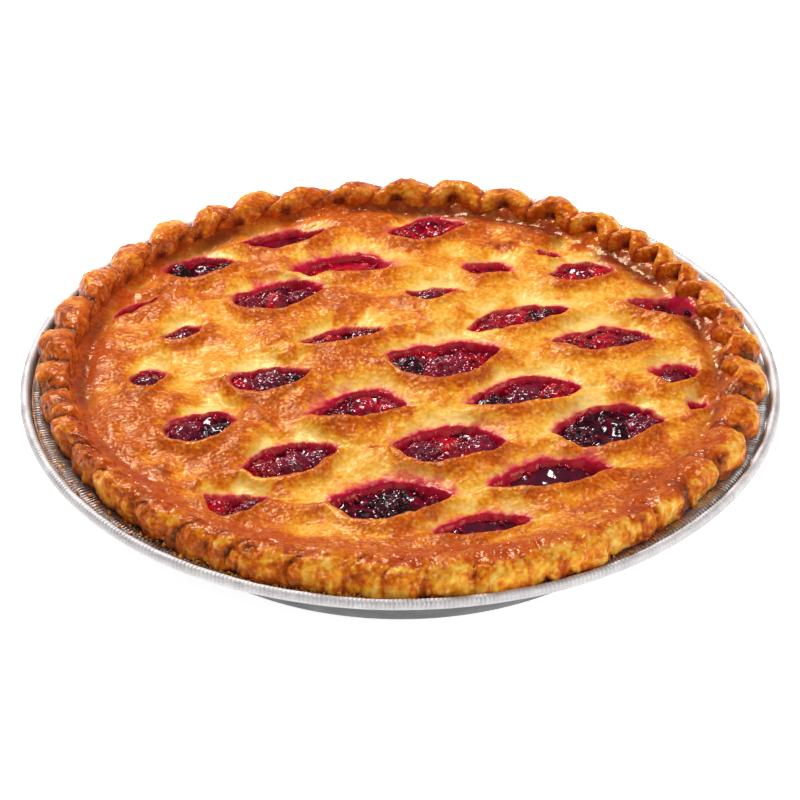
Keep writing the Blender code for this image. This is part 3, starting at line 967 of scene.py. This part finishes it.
@dataclass
class CrustLid(Piece):
    """The slit lid, a slab whose top is the baked relief."""

    shape: LidShape
    cells: int = 306
    edge_height: float = 31.6
    foot_radius: float = 101.5
    foot_height: float = 27.0
    pool_radius: float = 102.5

    name = "crust_lid"

    def shell(self) -> Shell:
        """Work out the slab from the lid's height over a gridded disc.

        Returns:
            The shell with its masks.
        """
        places = disc_grid(self.shape.radius, self.cells)
        gaps = self.shape.gaps(places)
        height = self.shape.height(places, gaps)
        skirt = ((self.shape.radius, self.edge_height), (self.foot_radius, self.foot_height))
        shell = domed_slab(places, height, self.cells, skirt)
        shell.masks = self.masks(places, gaps, height)
        return shell

    def masks(self, places: Array, gaps: Gaps, height: Array) -> Masks:
        """Browning by height and noise, paler behind far lips as painted light; juice on lips; glaze and pools
        near the edge.

        Args:
            places: The top's points.
            gaps: How they lie against the slits.
            height: Their heights.

        Returns:
            The masks by name.
        """
        radius = np.hypot(places[:, 0], places[:, 1])
        turn = np.arctan2(places[:, 1], places[:, 0])
        raised = height - self.shape.dome(places)
        patch = smooth(layers(places, (1.6, 9.0, 76), (0.5, 3.2, 77)))
        near = smooth(-1.2 * places[:, 1] / np.maximum(radius, 1.0))
        brown = 0.42 + 0.1 * np.clip(raised, -1.4, 2.6) + 0.02 * gaps.ridge - 0.0007 * places[:, 0]
        brown += layers(places, (0.09, 15.0, 71), (0.07, 6.0, 72), (0.05, 2.6, 75))
        # Paler behind each far lip: painted light on the slope that faces the front.
        brown += 0.22 * (patch - 0.4) + gaps.pale * (0.2 * patch - 0.2)
        brown += (0.12 - 0.1 * near) * smooth((radius - 74.0) / 26.0)
        brown = np.minimum(brown, 0.66) + burnt_spots(places)
        brown -= torn_places(places) * (0.3 - 0.5 * flakes(places, 6.0, 37))
        back_right = facing(turn, 48.0, 2.2, -1.1)
        width = 1.6 + 1.6 * smooth(-places[:, 0] / 80.0) + 3.2 * back_right
        pool = (1.0 - 0.85 * near) * hump(radius - self.pool_radius + 2.0 * back_right, width)
        pool *= smooth(0.6 + 1.2 * noise(places, 12.0, 74) + 0.4 * back_right) * (0.75 + 0.1 * back_right)
        glaze = glaze_round_edge(places)
        coarse = smooth(0.3 + 0.35 * raised + 0.5 * noise(places, 9.0, 78)) * (1.0 - 0.7 * glaze)
        return {"brown": brown, "stain": gaps.juice, "glaze": glaze, "pool": pool, "coarse": coarse}


CREASES = (
    1.8, 11.5, 18.9, 27.2, 34.0, 40.8, 47.5, 56.5, 65.6, 75.0, 84.0, 92.7, 101.3, 110.6, 119.9, 128.5, 138.1,
    147.8, 157.5, 167.6, 177.4, 185.8, 195.5, 203.6, 212.2, 224.0, 233.2, 242.6, 252.5, 261.3, 267.2, 273.4,
    280.9, 291.8, 303.0, 308.6, 313.5, 321.5, 329.6, 340.4, 350.7,
)  # fmt: skip

BROWN_DENTS = (311.0, 330.2, 320.0, 341.0, 352.0, 3.0, 14.0)


@dataclass
class CrimpedEdge(Piece):
    """The crimped edge of the crust: rounded lobes between creases, and a pocket behind each lobe at the back.

    CREASES holds the angle of every crease in degrees, and BROWN_DENTS those of the glazed dents on the right.
    """

    steps: int = 1740
    around: int = 52
    crease_radius: float = 112.2
    lobe_reach: float = 4.4
    crest_radius: float = 106.6
    crest_sway: float = 3.4
    pocket_radius: float = 102.8
    pocket_reach: float = 5.0
    foot: float = 30.0
    crest: float = 39.9
    tilt: float = 0.5
    slant: float = 6.0
    usual_lobe: float = 9.3
    crease_share: float = 0.09
    dent_width: float = 1.9
    seed: int = 5

    name = "crimped_edge"

    def lobes(self, angle: Array) -> tuple[Array, Array, Array]:
        """Find the lobe at each angle.

        Args:
            angle: Angles in radians.

        Returns:
            The lobe's number, the phase across it from -pi to pi, and its width in radians.
        """
        edges = np.radians(np.array([CREASES[-1] - 360.0, *CREASES, CREASES[0] + 360.0]))
        turned = np.mod(angle, TAU)
        lobe = np.clip(np.searchsorted(edges, turned, side="right") - 1, 0, len(CREASES))
        width = edges[lobe + 1] - edges[lobe]
        return (lobe - 1) % len(CREASES), math.pi * (2.0 * (turned - edges[lobe]) / width - 1.0), width

    def each_lobe(self, spread: float, lobe: Array, phase: Array, draw: int) -> Array:
        """A random number for each lobe, eased from one lobe's middle to the next.

        Args:
            spread: The largest number, either way.
            lobe: The lobe's number at each point.
            phase: The phase across it.
            draw: Number that picks another set.

        Returns:
            One number for each point.
        """
        values = np.random.default_rng(self.seed + draw).uniform(-spread, spread, len(CREASES))
        other = (lobe + np.where(phase > 0.0, 1, -1)) % len(CREASES)
        share = 0.5 * smooth(np.abs(phase) / math.pi) ** 2
        return blend(values[lobe], values[other], share)

    @staticmethod
    def front(angle: Array) -> Array:
        """How far a place is at the front: smooth(-0.1 - 1.5 sin(angle))."""
        return smooth(-0.1 - 1.5 * np.sin(angle))

    @staticmethod
    def nearest(angle: Array) -> Array:
        """How far a place is in the short stretch nearest to the viewer."""
        return facing(angle, 266.0, 3.2, -2.0)

    def form(self, angle: Array, t: Array) -> tuple[Array, Array, Array]:
        """Work out the ring without its lumps.

        At a turn t of the section, the radius goes from the crest's by |cos t|^p of the way to the outer or
        inner radius, and the height from foot to top by (1 + sign(sin t) |sin t|^q) / 2. Small powers outside
        make a crisp upper edge at the front; 1.4 inside makes a slope down to the lid. On the left the creases
        slant across the ring, like those of a rope.

        Args:
            angle: Each point's angle round the pie.
            t: Each point's turn of the section, 0 on the outside and a quarter turn on top.

        Returns:
            The points, how deep each lies in an inner pocket at the back, and how deep in a crease.
        """
        left, front, near = facing(angle, 185.0, 1.3, 0.5), self.front(angle), self.nearest(angle)
        back = smooth(0.1 + 1.5 * np.sin(angle))
        inward = 0.5 - 0.5 * np.cos(t)
        lobe, phase, width = self.lobes(angle - math.radians(self.slant) * inward * left)
        bulge = np.abs(np.cos(phase / 2)) ** blend(0.85, 0.42, front)
        pocket = 1.0 - np.abs(np.sin(phase / 2 - 0.12))
        size = np.clip(width / math.radians(self.usual_lobe), 0.6, 1.3) + self.each_lobe(0.2, lobe, phase, 2)
        sway = 1.2 * near + 2.2 * facing(angle, 322.0, 2.0, -0.8) - 1.7 * facing(angle, 224.0, 3.0, -2.0)
        sway += 1.3 * np.cos(angle - math.radians(172.0)) - 0.3
        lift = 0.5 + 0.5 * np.sign(np.sin(t)) * np.abs(np.sin(t)) ** blend(0.95, 0.8, front)
        skirt = front * (1.0 - lift) * smooth(2.0 * np.cos(t))
        lobing = blend(bulge, 0.85, 0.7 * skirt) * size * (1.0 - 0.35 * front)
        outer = self.crease_radius + sway + self.lobe_reach * lobing + 2.6 * skirt * near
        depth = self.pocket_reach * (1.0 - 0.75 * np.maximum(left, front))
        depth *= 1.0 + self.each_lobe(0.25, lobe, phase, 3)
        inner = self.pocket_radius + 1.8 * left + depth * pocket - 2.0 * left * (bulge - 0.6)
        crest = self.crest_radius + self.crest_sway * front + (1.0 - front) * (0.6 + 2.6 * (bulge - 0.6))
        fall = (2.3 - 1.3 * front) * (1.0 - bulge)
        top = self.crest + 0.3 * back - self.tilt * front + self.each_lobe(0.7, lobe, phase, 4) - fall
        power = np.where(np.sin(t) > 0.0, blend(0.9, 0.6, front), blend(0.6, 0.35, front))
        power = np.where(np.cos(t) > 0.0, power, blend(1.0, 1.4, front))
        reach = np.where(np.cos(t) > 0.0, outer - crest, inner - crest)
        points = polar(crest + reach * np.abs(np.cos(t)) ** power, angle, self.foot + (top - self.foot) * lift)
        crease = hump(1.0 - np.abs(phase) / math.pi, self.crease_share)
        return points.reshape(-1, 3), (pocket * back).ravel(), crease.ravel()

    def shell(self) -> Shell:
        """Work out the ring: its form, moved outwards by lumps and leaves, with a ragged, crumbly foot.

        Returns:
            The shell with its masks.
        """
        angle = TAU * np.arange(self.steps) / self.steps
        turn = TAU * np.arange(self.around) / self.around
        angle, t = np.meshgrid(angle, turn, indexing="ij")
        points, pocket, crease = self.form(angle, t)
        out = polar(np.cos(t), angle, np.sin(t)).reshape(-1, 3)
        outside = smooth(np.cos(t) * 1.6).ravel()
        angle = angle.ravel()
        lumps = layers(points, (0.6, 7.5, 81), (0.36, 3.6, 82), (0.13, 1.8, 83))
        lumps += 0.26 * wrinkles(points, 3.6, 88)
        lumps += 0.3 * noise(points * (1.0, 1.0, 0.2), 1.3, 86) * outside * self.front(angle)
        leaves = 0.75 * (flakes(points * (1.0, 1.0, 2.0), 5.0, 84) - 0.5) * (0.2 + 0.8 * outside)
        low = smooth((33.4 - points[:, 2]) / 2.8) * outside * (0.7 + 0.6 * facing(angle, 252.0, 1.6, -0.5))
        ragged = (layers(points, (0.6, 2.6, 85), (0.6, 5.0, 87)) + 0.7 * self.nearest(angle)) * low
        rough = 1.0 + 0.35 * facing(angle, 222.0, 2.0, -0.9)
        moved = points + out * ((lumps + leaves) * rough + ragged)[:, None]
        moved[:, 2] = np.maximum(moved[:, 2], self.foot)
        faces = grid_faces(self.steps, self.around, wrap_rows=True, wrap_columns=True)
        return Shell(moved, [faces], self.masks(moved, lumps + leaves, outside, pocket, crease))

    def masks(self, points: Array, raised: Array, outside: Array, pocket: Array, crease: Array) -> Masks:
        """Browner on the left, painted shade in the creases, paler at the back and on the outer faces; glazed
        pockets.

        Args:
            points: The ring's points.
            raised: How far lumps and leaves lift each point.
            outside: 1 on the outer face.
            pocket: 1 in the middle of an inner pocket.
            crease: 1 in the crease between two lobes.

        Returns:
            The masks by name.
        """
        angle = np.arctan2(points[:, 1], points[:, 0])
        inside = 1.0 - outside
        front = self.front(angle)
        high = smooth((points[:, 2] - 33.0) / 6.0)
        brown = 0.6 + 0.08 * smooth(0.3 - np.cos(angle)) - 0.05 * smooth(1.5 * np.sin(angle)) - 0.14 * raised
        # Darker in the creases between lobes: painted shade.
        brown += layers(points, (0.14, 5.0, 91), (0.15, 2.0, 92)) + (0.42 - 0.24 * front) * crease
        brown += 0.14 * noise(points * (1.0, 1.0, 0.25), 1.3, 95) * outside
        pale = 0.06 + 0.24 * facing(angle, 325.0, 1.2, 0.5)
        brown -= outside * pale * smooth(0.6 + 1.2 * noise(points, 4.5, 93))
        brown += 0.1 * outside * smooth((33.0 - points[:, 2]) / 2.5)
        for dent in BROWN_DENTS:
            away = np.mod(angle - math.radians(dent) + math.pi, TAU) - math.pi
            brown += 0.32 * hump(away, math.radians(self.dent_width)) * (1.0 - 0.4 * inside)
        glaze = glaze_round_edge(points[:, :2]) * inside * (1.0 - 0.6 * high * (1.0 - front))
        dark = smooth(2.4 * (pocket - 0.4)) * inside * smooth((38.6 - points[:, 2]) / 2.5)
        pool = dark * smooth(1.2 + noise(points, 5.0, 94))
        return {"brown": brown, "glaze": glaze, "pool": pool, "coarse": np.ones(len(points))}


@dataclass
class PastryLining(Piece):
    """The pastry between the foil and the filling, a plain turned shell."""

    steps: int = 120
    brown: float = 0.35

    name = "pastry_lining"
    RADII = (60.0, 80.2, 85.5, 102.9, 109.4, 109.4, 88.4, 84.4, 40.0)
    HEIGHTS = (5.05, 5.05, 7.05, 31.0, 31.0, 30.1, 3.35, 0.9, 0.9)

    def shell(self) -> Shell:
        """Turn the lining's section: up inside from the base, over the brim and down its outer face.

        Returns:
            The shell with its mask.
        """
        shell = turned_shell(np.array(self.RADII), np.array(self.HEIGHTS), self.steps)
        shell.masks = {"brown": np.full(len(shell.points), self.brown)}
        return shell


@dataclass
class JamBed(Piece):
    """The set jam under the lid, whose top shows in the slits and creeps up the berries."""

    shape: LidShape
    cells: int = 290
    radius: float = 98.6
    side_foot: float = 27.0
    berry_radius: float = 7.4
    film: float = 1.0
    sunk: float = 0.64
    seed: int = 21

    name = "jam_bed"
    FOOT = ((86.0, 7.45), (79.0, 5.4))
    REDDER = {Fruit.RED: 0.25, Fruit.DARK: -0.35, Fruit.DUSKY: -0.05}

    def level(self, places: Array) -> Array:
        """The jam's own level: the lid's underside with slow waves."""
        waves = layers(places, (0.5, 10.0, 101), (0.3, 4.0, 102))
        return self.shape.dome(places) - self.shape.jam_depth + waves

    def berries(self) -> list[tuple[Fruit, Array]]:
        """Spread the berries along each slit, half sunk in the jam.

        Returns:
            Every berry's kind, and its centre and radius as x, y, z, r.
        """
        rng = np.random.default_rng(self.seed)
        found = []
        for slit in SLITS:
            count = len(slit.fruit)
            for i, letter in enumerate(slit.fruit):
                share = 0.0 if count == 1 else 1.2 * (i / (count - 1) - 0.5)
                share += rng.uniform(-0.07, 0.07)
                size = self.berry_radius * rng.uniform(0.84, 1.14)
                v = 0.5 * (slit.far - slit.near) * (1.0 - share**2) ** 0.8
                place = slit.place(share * slit.half_length, v)
                height = self.level(place[None, :])[0] - self.sunk * size + rng.uniform(-0.6, 0.6)
                found.append((Fruit(letter), np.array([*place, height, size])))
        return found

    def surface(self, places: Array) -> tuple[Array, Masks]:
        """Work out the jam's top and its masks.

        The top is the jam's level, or a film over each berry's ball where that is higher, with wrinkles.

        Args:
            places: Points of the bed.

        Returns:
            Their heights, and the masks red, clear, fruit and dusk.
        """
        gaps = self.shape.gaps(places)
        top = self.level(places)
        fruit = np.zeros(len(places))
        # Greyer purple on clear jelly is a painted reflection of the sky; on dusky berries it is their own
        # colour.
        purple_and_sheen = 0.5 * gaps.clear * smooth(3.0 - 5.0 * gaps.red)
        red = gaps.red.copy()
        for kind, (x, y, z, size) in self.berries():
            away = np.hypot(places[:, 0] - x, places[:, 1] - y)
            reach = self.film * size
            cap = z + np.sqrt(np.maximum(reach**2 - away**2, 0.0))
            top = np.where(away < reach, np.maximum(top, cap), top)
            share = smooth(2.2 - 2.0 * away / size)
            fruit = np.maximum(fruit, share)
            red += share * self.REDDER[kind]
            purple_and_sheen += share * (kind is Fruit.DUSKY)
        lip = self.shape.height(places, gaps) + self.shape.wall * gaps.wall
        ceiling = lip - 2.2 + 3.0 * smooth(-gaps.gap / 3.5)
        top += (0.8 * wrinkles(places, 5.0, 103) + 0.45 * noise(places, 2.4, 104)) * (1.0 - 0.8 * gaps.clear)
        return np.minimum(top, ceiling), {"red": red, "clear": gaps.clear, "fruit": fruit, "purple_and_sheen": purple_and_sheen}

    def shell(self) -> Shell:
        """Work out the bed, one closed slab in the lining.

        Returns:
            The shell with its masks.
        """
        places = disc_grid(self.radius, self.cells)
        height, masks = self.surface(places)
        shell = domed_slab(places, height, self.cells, ((self.radius, self.side_foot), *self.FOOT))
        shell.masks = masks
        return shell


@dataclass
class BerryHeap(Piece):
    """The berries of one kind, each a cluster of beads, sunk to their own depth in the jam."""

    kind: Fruit
    bed: JamBed
    beads: int = 112
    bead_share: float = 0.17
    seed: int = 21

    @property
    def name(self) -> str:
        """Name of the piece, by its kind."""
        return f"{self.kind.name.lower()}_berries"

    def shell(self) -> Shell:
        """Work out the heap.

        Each bead sits on a ball at height h = 1 - 2(i + 1/2)/n and angle i times the golden angle; the ball is
        stretched and turned its own way. Beads of its upper half, in patches, are then set on the jam's film
        and let down by 0.5 to 1.05 of their radius.

        Returns:
            The shell with its mask.
        """
        rng = np.random.default_rng(self.seed + ord(self.kind.value))
        i = np.arange(self.beads)
        h = 1.0 - 2.0 * (i + 0.5) / self.beads
        sphere = polar(np.sqrt(1.0 - h * h), math.pi * (3.0 - math.sqrt(5.0)) * i, h)
        rows = []
        for kind, (x, y, _, size) in self.bed.berries():
            if kind is not self.kind:
                continue
            turn = np.linalg.qr(rng.normal(size=(3, 3)))[0]
            stretch = rng.uniform(0.92, 1.08, 3)
            centres = (sphere * stretch) @ turn * size * 0.9
            centres += rng.normal(scale=0.03 * size, size=centres.shape)
            beads = self.bead_share * size * rng.uniform(0.7, 1.2, self.beads)
            below = centres[:, :2] + np.array([x, y])
            kept = (noise(below, 5.0, 105) > -0.15) & (centres[:, 2] > 0.0)
            kept &= self.bed.shape.gaps(below).gap < -0.5 - 0.8 * beads
            below, beads = below[kept], beads[kept]
            height = self.bed.surface(below)[0] - beads * rng.uniform(0.5, 1.05, len(beads))
            tone = rng.uniform(0.2, 0.8) + rng.uniform(-0.2, 0.2, len(beads))
            rows.append(np.column_stack([below, height, beads, tone]))
        found = np.concatenate(rows)
        return balls(found[:, :3], found[:, 3], tone=found[:, 4])


@dataclass
class JamBubbles(Piece):
    """Small set bubbles of jelly along the slits' edges."""

    shape: LidShape
    bed: JamBed
    tries: int = 7600
    spread: float = 96.0
    seed: int = 77

    name = "jam_bubbles"

    def shell(self) -> Shell:
        """Scatter bubbles where the jam meets the slits' walls, most of them under the far lips.

        Returns:
            The shell with its masks.
        """
        rng = np.random.default_rng(self.seed)
        radius = np.sqrt(rng.uniform(0.0, 1.0, self.tries)) * self.spread
        places = polar(radius, rng.uniform(0.0, TAU, self.tries))
        gaps = self.shape.gaps(places)
        edge = (gaps.gap < -0.8) & (gaps.gap > -3.2)
        edge &= rng.uniform(0.0, 1.0, self.tries) < 0.1 + 0.6 * gaps.pale
        places = places[edge]
        size = 0.8 * rng.uniform(0.3, 1.0, len(places)) ** 1.5 + 0.12
        centres = np.column_stack([places, self.bed.surface(places)[0] + 0.25 * size])
        return balls(centres, size, red=np.maximum(gaps.red[edge] + 0.15, 0.7), clear=np.ones(len(places)))


@dataclass
class Crumbs(Piece):
    """Crumbs of crust that lie on the foil's flange."""

    count: int = 760
    flange_top: float = 29.85
    inner_radius: float = 114.8
    middle: float = -102.0
    spread: float = 0.36
    front_share: float = 0.86
    seed: int = 9

    name = "crust_crumbs"

    def shell(self) -> Shell:
        """Scatter uneven crumbs, most of them at the front and closest to the crust.

        Returns:
            The shell with its mask.
        """
        rng = np.random.default_rng(self.seed)
        front = rng.normal(math.radians(self.middle), self.spread, self.count)
        anywhere = rng.uniform(size=self.count) >= self.front_share
        angle = np.where(anywhere, rng.uniform(0.0, TAU, self.count), front)
        radius = self.inner_radius + 3.0 * rng.uniform(size=self.count) ** 1.6
        size = 0.16 + 0.5 * rng.uniform(size=self.count) ** 3
        stretch = rng.uniform(0.6, 1.3, (self.count, 3))
        centre = polar(radius, angle, self.flange_top + 0.6 * size)
        shell = balls(centre, size[:, None] * stretch, brown=rng.uniform(0.2, 0.62, self.count))
        middle = np.repeat(centre, len(shell.points) // self.count, axis=0)
        lump = 1.0 + 0.35 * noise(shell.points, 0.6, 111)
        shell.points = middle + (shell.points - middle) * lump[:, None]
        return shell


@dataclass
class FoilBowl(Piece):
    """The foil tin's base and its sloping wall, with shallow pleats."""

    steps: int = 360
    wall_rings: int = 7
    shade: float = 0.95

    name = "foil_bowl"

    def shell(self) -> Shell:
        """Turn the section, inside first, and pleat it by noise round the wall that fades at its foot and top.

        Returns:
            The shell with its mask.
        """
        up = np.linspace(0.0, 1.0, self.wall_rings)
        inner_r = np.array([30.0, 60.0, 85.6, *blend(87.4, 110.0, up), 111.2])
        inner_z = np.array([0.5, 0.5, 0.5, *blend(1.4, 29.8, up), 29.8])
        outer_r = np.array([111.2, *blend(110.5, 88.3, up), 87.6, 85.6, 60.0, 30.0])
        outer_z = np.array([29.3, *blend(29.3, 0.9, up), 0.2, 0.0, 0.0, 0.0])
        ring = polar(40.0, TAU * np.arange(self.steps) / self.steps)
        pleat = layers(ring, (0.22, 2.2, 121), (0.2, 6.0, 122))[:, None]
        z = np.concatenate([inner_z, outer_z])
        free = np.clip((z - 1.0) / 8.0, 0.0, 1.0) * np.clip((28.7 - z) / 4.0, 0.0, 1.0)
        shell = turned_shell(np.concatenate([inner_r, outer_r]) + pleat * free, z, self.steps)
        # The outer wall is painted darker: painted shade and darker reflection.
        outside = np.concatenate([np.zeros(len(inner_r)), np.full(len(outer_r), self.shade)])
        shell.masks = {"shade": np.tile(outside, self.steps)}
        return shell


FLANGE_SECTION = (
    (110.2, 29.7, 0.0, 0.0, 0.0), (111.4, 29.8, 1.0, 0.0, 0.0), (113.0, 29.8, 1.0, 0.0, 0.0),
    (114.6, 29.8, 1.0, 0.0, 0.0), (116.0, 29.8, 1.0, 0.0, 0.0), (117.2, 29.8, 0.9, 0.0, 0.0),
    (117.9, 29.4, 0.4, 0.0, 0.7), (118.2, 29.2, 0.0, 0.0, 1.0), (118.6, 29.9, 0.0, 0.3, 0.8),
    (119.0, 30.9, 0.0, 0.8, 0.25), (119.7, 31.6, 0.0, 1.0, 0.0), (120.5, 31.8, 0.0, 1.0, 0.0),
    (121.3, 31.5, 0.0, 1.0, 0.0), (121.8, 30.8, 0.0, 1.0, 0.0), (122.0, 30.0, 0.0, 1.0, 0.0),
    (121.9, 29.2, 0.0, 0.6, 0.0), (121.5, 28.7, 0.0, 0.2, 0.0), (120.8, 28.6, 0.0, 0.0, 0.0),
    (119.6, 28.7, 0.0, 0.0, 0.0), (118.4, 29.0, 0.0, 0.0, 0.0), (116.5, 29.3, 0.8, 0.0, 0.0),
    (113.5, 29.3, 1.0, 0.0, 0.0), (110.8, 29.2, 0.0, 0.0, 0.0),
)  # fmt: skip


@dataclass
class FoilFlange(Piece):
    """The foil tin's ribbed flange with a crimped bead at its edge.

    Each point of FLANGE_SECTION has its radius and height, and how far it is ribbed, crimped and tinted brown;
    the brown in the groove is a painted reflection of the crust.
    """

    ribs: int = 560
    steps_to_a_rib: int = 7
    rib_height: float = 0.6
    crimp_height: float = 0.1
    crimp_shade: float = 0.08
    ring_radius: float = 100.0

    name = "foil_flange"

    def shell(self) -> Shell:
        """Carry the section round a closed ring, lifted by ribs, height / 2 * sin, and by its bead's crimps.

        Returns:
            The shell, whose masks brown the groove, as a painted reflection of the crust, and the left, and
            shade the valleys and the underside.
        """
        steps = self.ribs * self.steps_to_a_rib
        turn = TAU * np.arange(steps) / steps
        circle = polar(self.ring_radius, turn)
        angle = turn[:, None]
        r, z, ribbed, crimped, crust_reflection = np.array(FLANGE_SECTION).T
        wave = np.sin(self.ribs * turn + noise(circle, 3.0, 131))
        rib = 0.5 * self.rib_height * wave * (1.0 + 0.6 * noise(circle, 1.8, 132))
        fold = np.sin(self.ribs * turn + 1.0)
        crimp = (self.crimp_height * fold * (0.9 + 0.8 * noise(circle, 5.0, 133)))[:, None] * crimped
        dent = layers(circle, (0.16, 9.0, 134), (0.08, 2.6, 136))[:, None] * crimped
        points = polar(r + crimp, angle, z + rib[:, None] * ribbed + crimp + dent).reshape(-1, 3)
        left = 0.5 - 0.5 * np.cos(turn)
        valley = (smooth(-0.9 * wave - 0.2) * (0.35 + 0.5 * left) + 0.3 * left)[:, None] * ribbed
        folds = (self.crimp_shade * smooth(noise(circle, 2.0, 135) - fold))[:, None] * crimped
        under = (z < 29.1) * 0.6 + (r > 121.85) * 0.15
        # Brown tint: a painted reflection of the crust in the groove, and browner on the left.
        tinted = (0.85 - 0.45 * np.cos(angle)) * np.maximum(crust_reflection, (0.27 - 0.27 * np.cos(angle)) * ribbed)
        shade = (valley + under + folds).ravel()
        masks = {"brown_tint": tinted.ravel(), "shade": shade, "matte": np.tile(crimped, steps)}
        return Shell(points, [grid_faces(steps, len(r), wrap_rows=True, wrap_columns=True)[:, ::-1]], masks)


@dataclass
class Studio:
    """The floor, the lights and the camera."""

    aim: tuple[float, float, float] = (-0.0001, 0.0, 0.0232)
    stand: tuple[float, float, float] = (-0.0001, -1.165, 0.7996)
    lens: float = 195.3
    sensor: float = 36.0
    lamp_aim: tuple[float, float, float] = (0.0, 0.0, 0.02)

    LAMPS = (
        ("key_softbox", (-0.42, 0.72, 1.05), 0.5, 16.4),
        ("glint_lamp", (-0.2, 0.75, 1.0), 0.12, 1.4),
        ("front_fill", (0.3, -1.2, 1.2), 1.8, 9.0),
        ("side_card", (1.1, -0.2, 0.45), 0.5, 4.0),
    )
    FLOOR = ((2000.0, -0.3), (4000.0, -0.3), (4000.0, -4.0), (2000.0, -4.0))

    def build(self) -> None:
        """Set up the studio. LAMPS holds each lamp's name, its place and size in metres, and its watts."""
        self.floor()
        self.sky()
        for name, place, size, power in self.LAMPS:
            light = bpy.data.lights.new(name, "AREA")
            light.shape, light.size, light.energy = "DISK", size, power
            self.stand_at(light, place, self.lamp_aim)
        camera = bpy.data.cameras.new("photo_camera")
        camera.sensor_width, camera.lens = self.sensor, self.lens
        bpy.context.scene.camera = self.stand_at(camera, self.stand, self.aim)
        bpy.context.scene.view_settings.view_transform = "Standard"

    @staticmethod
    def stand_at(thing: bpy.types.ID, place: tuple, aim: tuple) -> bpy.types.Object:
        """Stand a lamp or camera in the scene.

        Args:
            thing: The lamp or camera.
            place: Where it stands.
            aim: Where it looks.

        Returns:
            Its object, which has its name.
        """
        holder = bpy.data.objects.new(thing.name, thing)
        holder.location = place
        holder.rotation_euler = (Vector(aim) - Vector(place)).to_track_quat("-Z", "Y").to_euler()
        bpy.context.scene.collection.objects.link(holder)
        return holder

    def sky(self) -> None:
        """Light the scene from all round, more brightly from the sides, as white studio walls do."""
        world = bpy.data.worlds.new("studio_sky")
        world.use_nodes = True
        sheet = NodeSheet(world.node_tree)
        way = sheet.add("ShaderNodeTexCoord").outputs["Generated"]
        up = sheet.add("ShaderNodeSeparateXYZ", {0: way}).outputs["Z"]
        values = {"Strength": sheet.span(up, 0.05, 0.45, 0.34, 0.15), "Color": WHITE}
        sheet.feed(world.node_tree.nodes["Background"], values)
        bpy.context.scene.world = world

    def floor(self) -> None:
        """Lay a wide pale floor under the tin."""
        radii, heights = np.array(self.FLOOR).T
        turned_shell(radii, heights, 64).to_object("pale_floor", PaleFloor("pale_floor").material())


def dress(piece: bpy.types.Object, slot: str, *nodes: str) -> None:
    """Tie a piece to the pie and let it stand for the nodes that it covers."""
    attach(piece, "root")
    if nodes:
        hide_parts(*nodes)
    log.info("%s: %d faces", piece.name, len(piece.data.polygons))


def main() -> None:
    """Build the pie's pieces in order."""
    logging.basicConfig(level=logging.INFO, format="%(name)s: %(message)s")
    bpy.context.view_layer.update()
    Studio().build()
    grain = surface_grain_group()
    pastry = BakedPastry("baked_pastry", grain).material()
    jam = BerryJam("berry_jam", grain, pulp_group()).material()
    foil = PressedFoil("pressed_foil", grain).material()
    skins = {
        Fruit.RED: BerrySkin("red_berry_skin", grain, (110, 0, 22), (206, 8, 34)),
        Fruit.DARK: BerrySkin("dark_berry_skin", grain, (36, 2, 18), (112, 8, 40), 0.14),
        Fruit.DUSKY: BerrySkin("dusky_berry_skin", grain, (76, 0, 30), (158, 14, 54), 0.18),
    }
    shape = LidShape()
    bed = JamBed(shape)
    dress(FoilBowl().build(foil), "foil", "foil_tin")
    dress(FoilFlange().build(foil), "foil", "foil_tin")
    dress(CrustLid(shape).build(pastry), "pastry", "pie_crust")
    dress(CrimpedEdge().build(pastry), "pastry", "pie_crust")
    dress(PastryLining().build(pastry), "pastry", "pie_crust")
    dress(Crumbs().build(pastry), "pastry")
    dress(bed.build(jam), "filling", "berry_filling")
    dress(JamBubbles(shape, bed).build(jam), "filling", "berry_filling")
    for kind, skin in skins.items():
        dress(BerryHeap(kind, bed).build(skin.material()), "filling", "berry_filling")


if __name__ == "__main__":
    main()
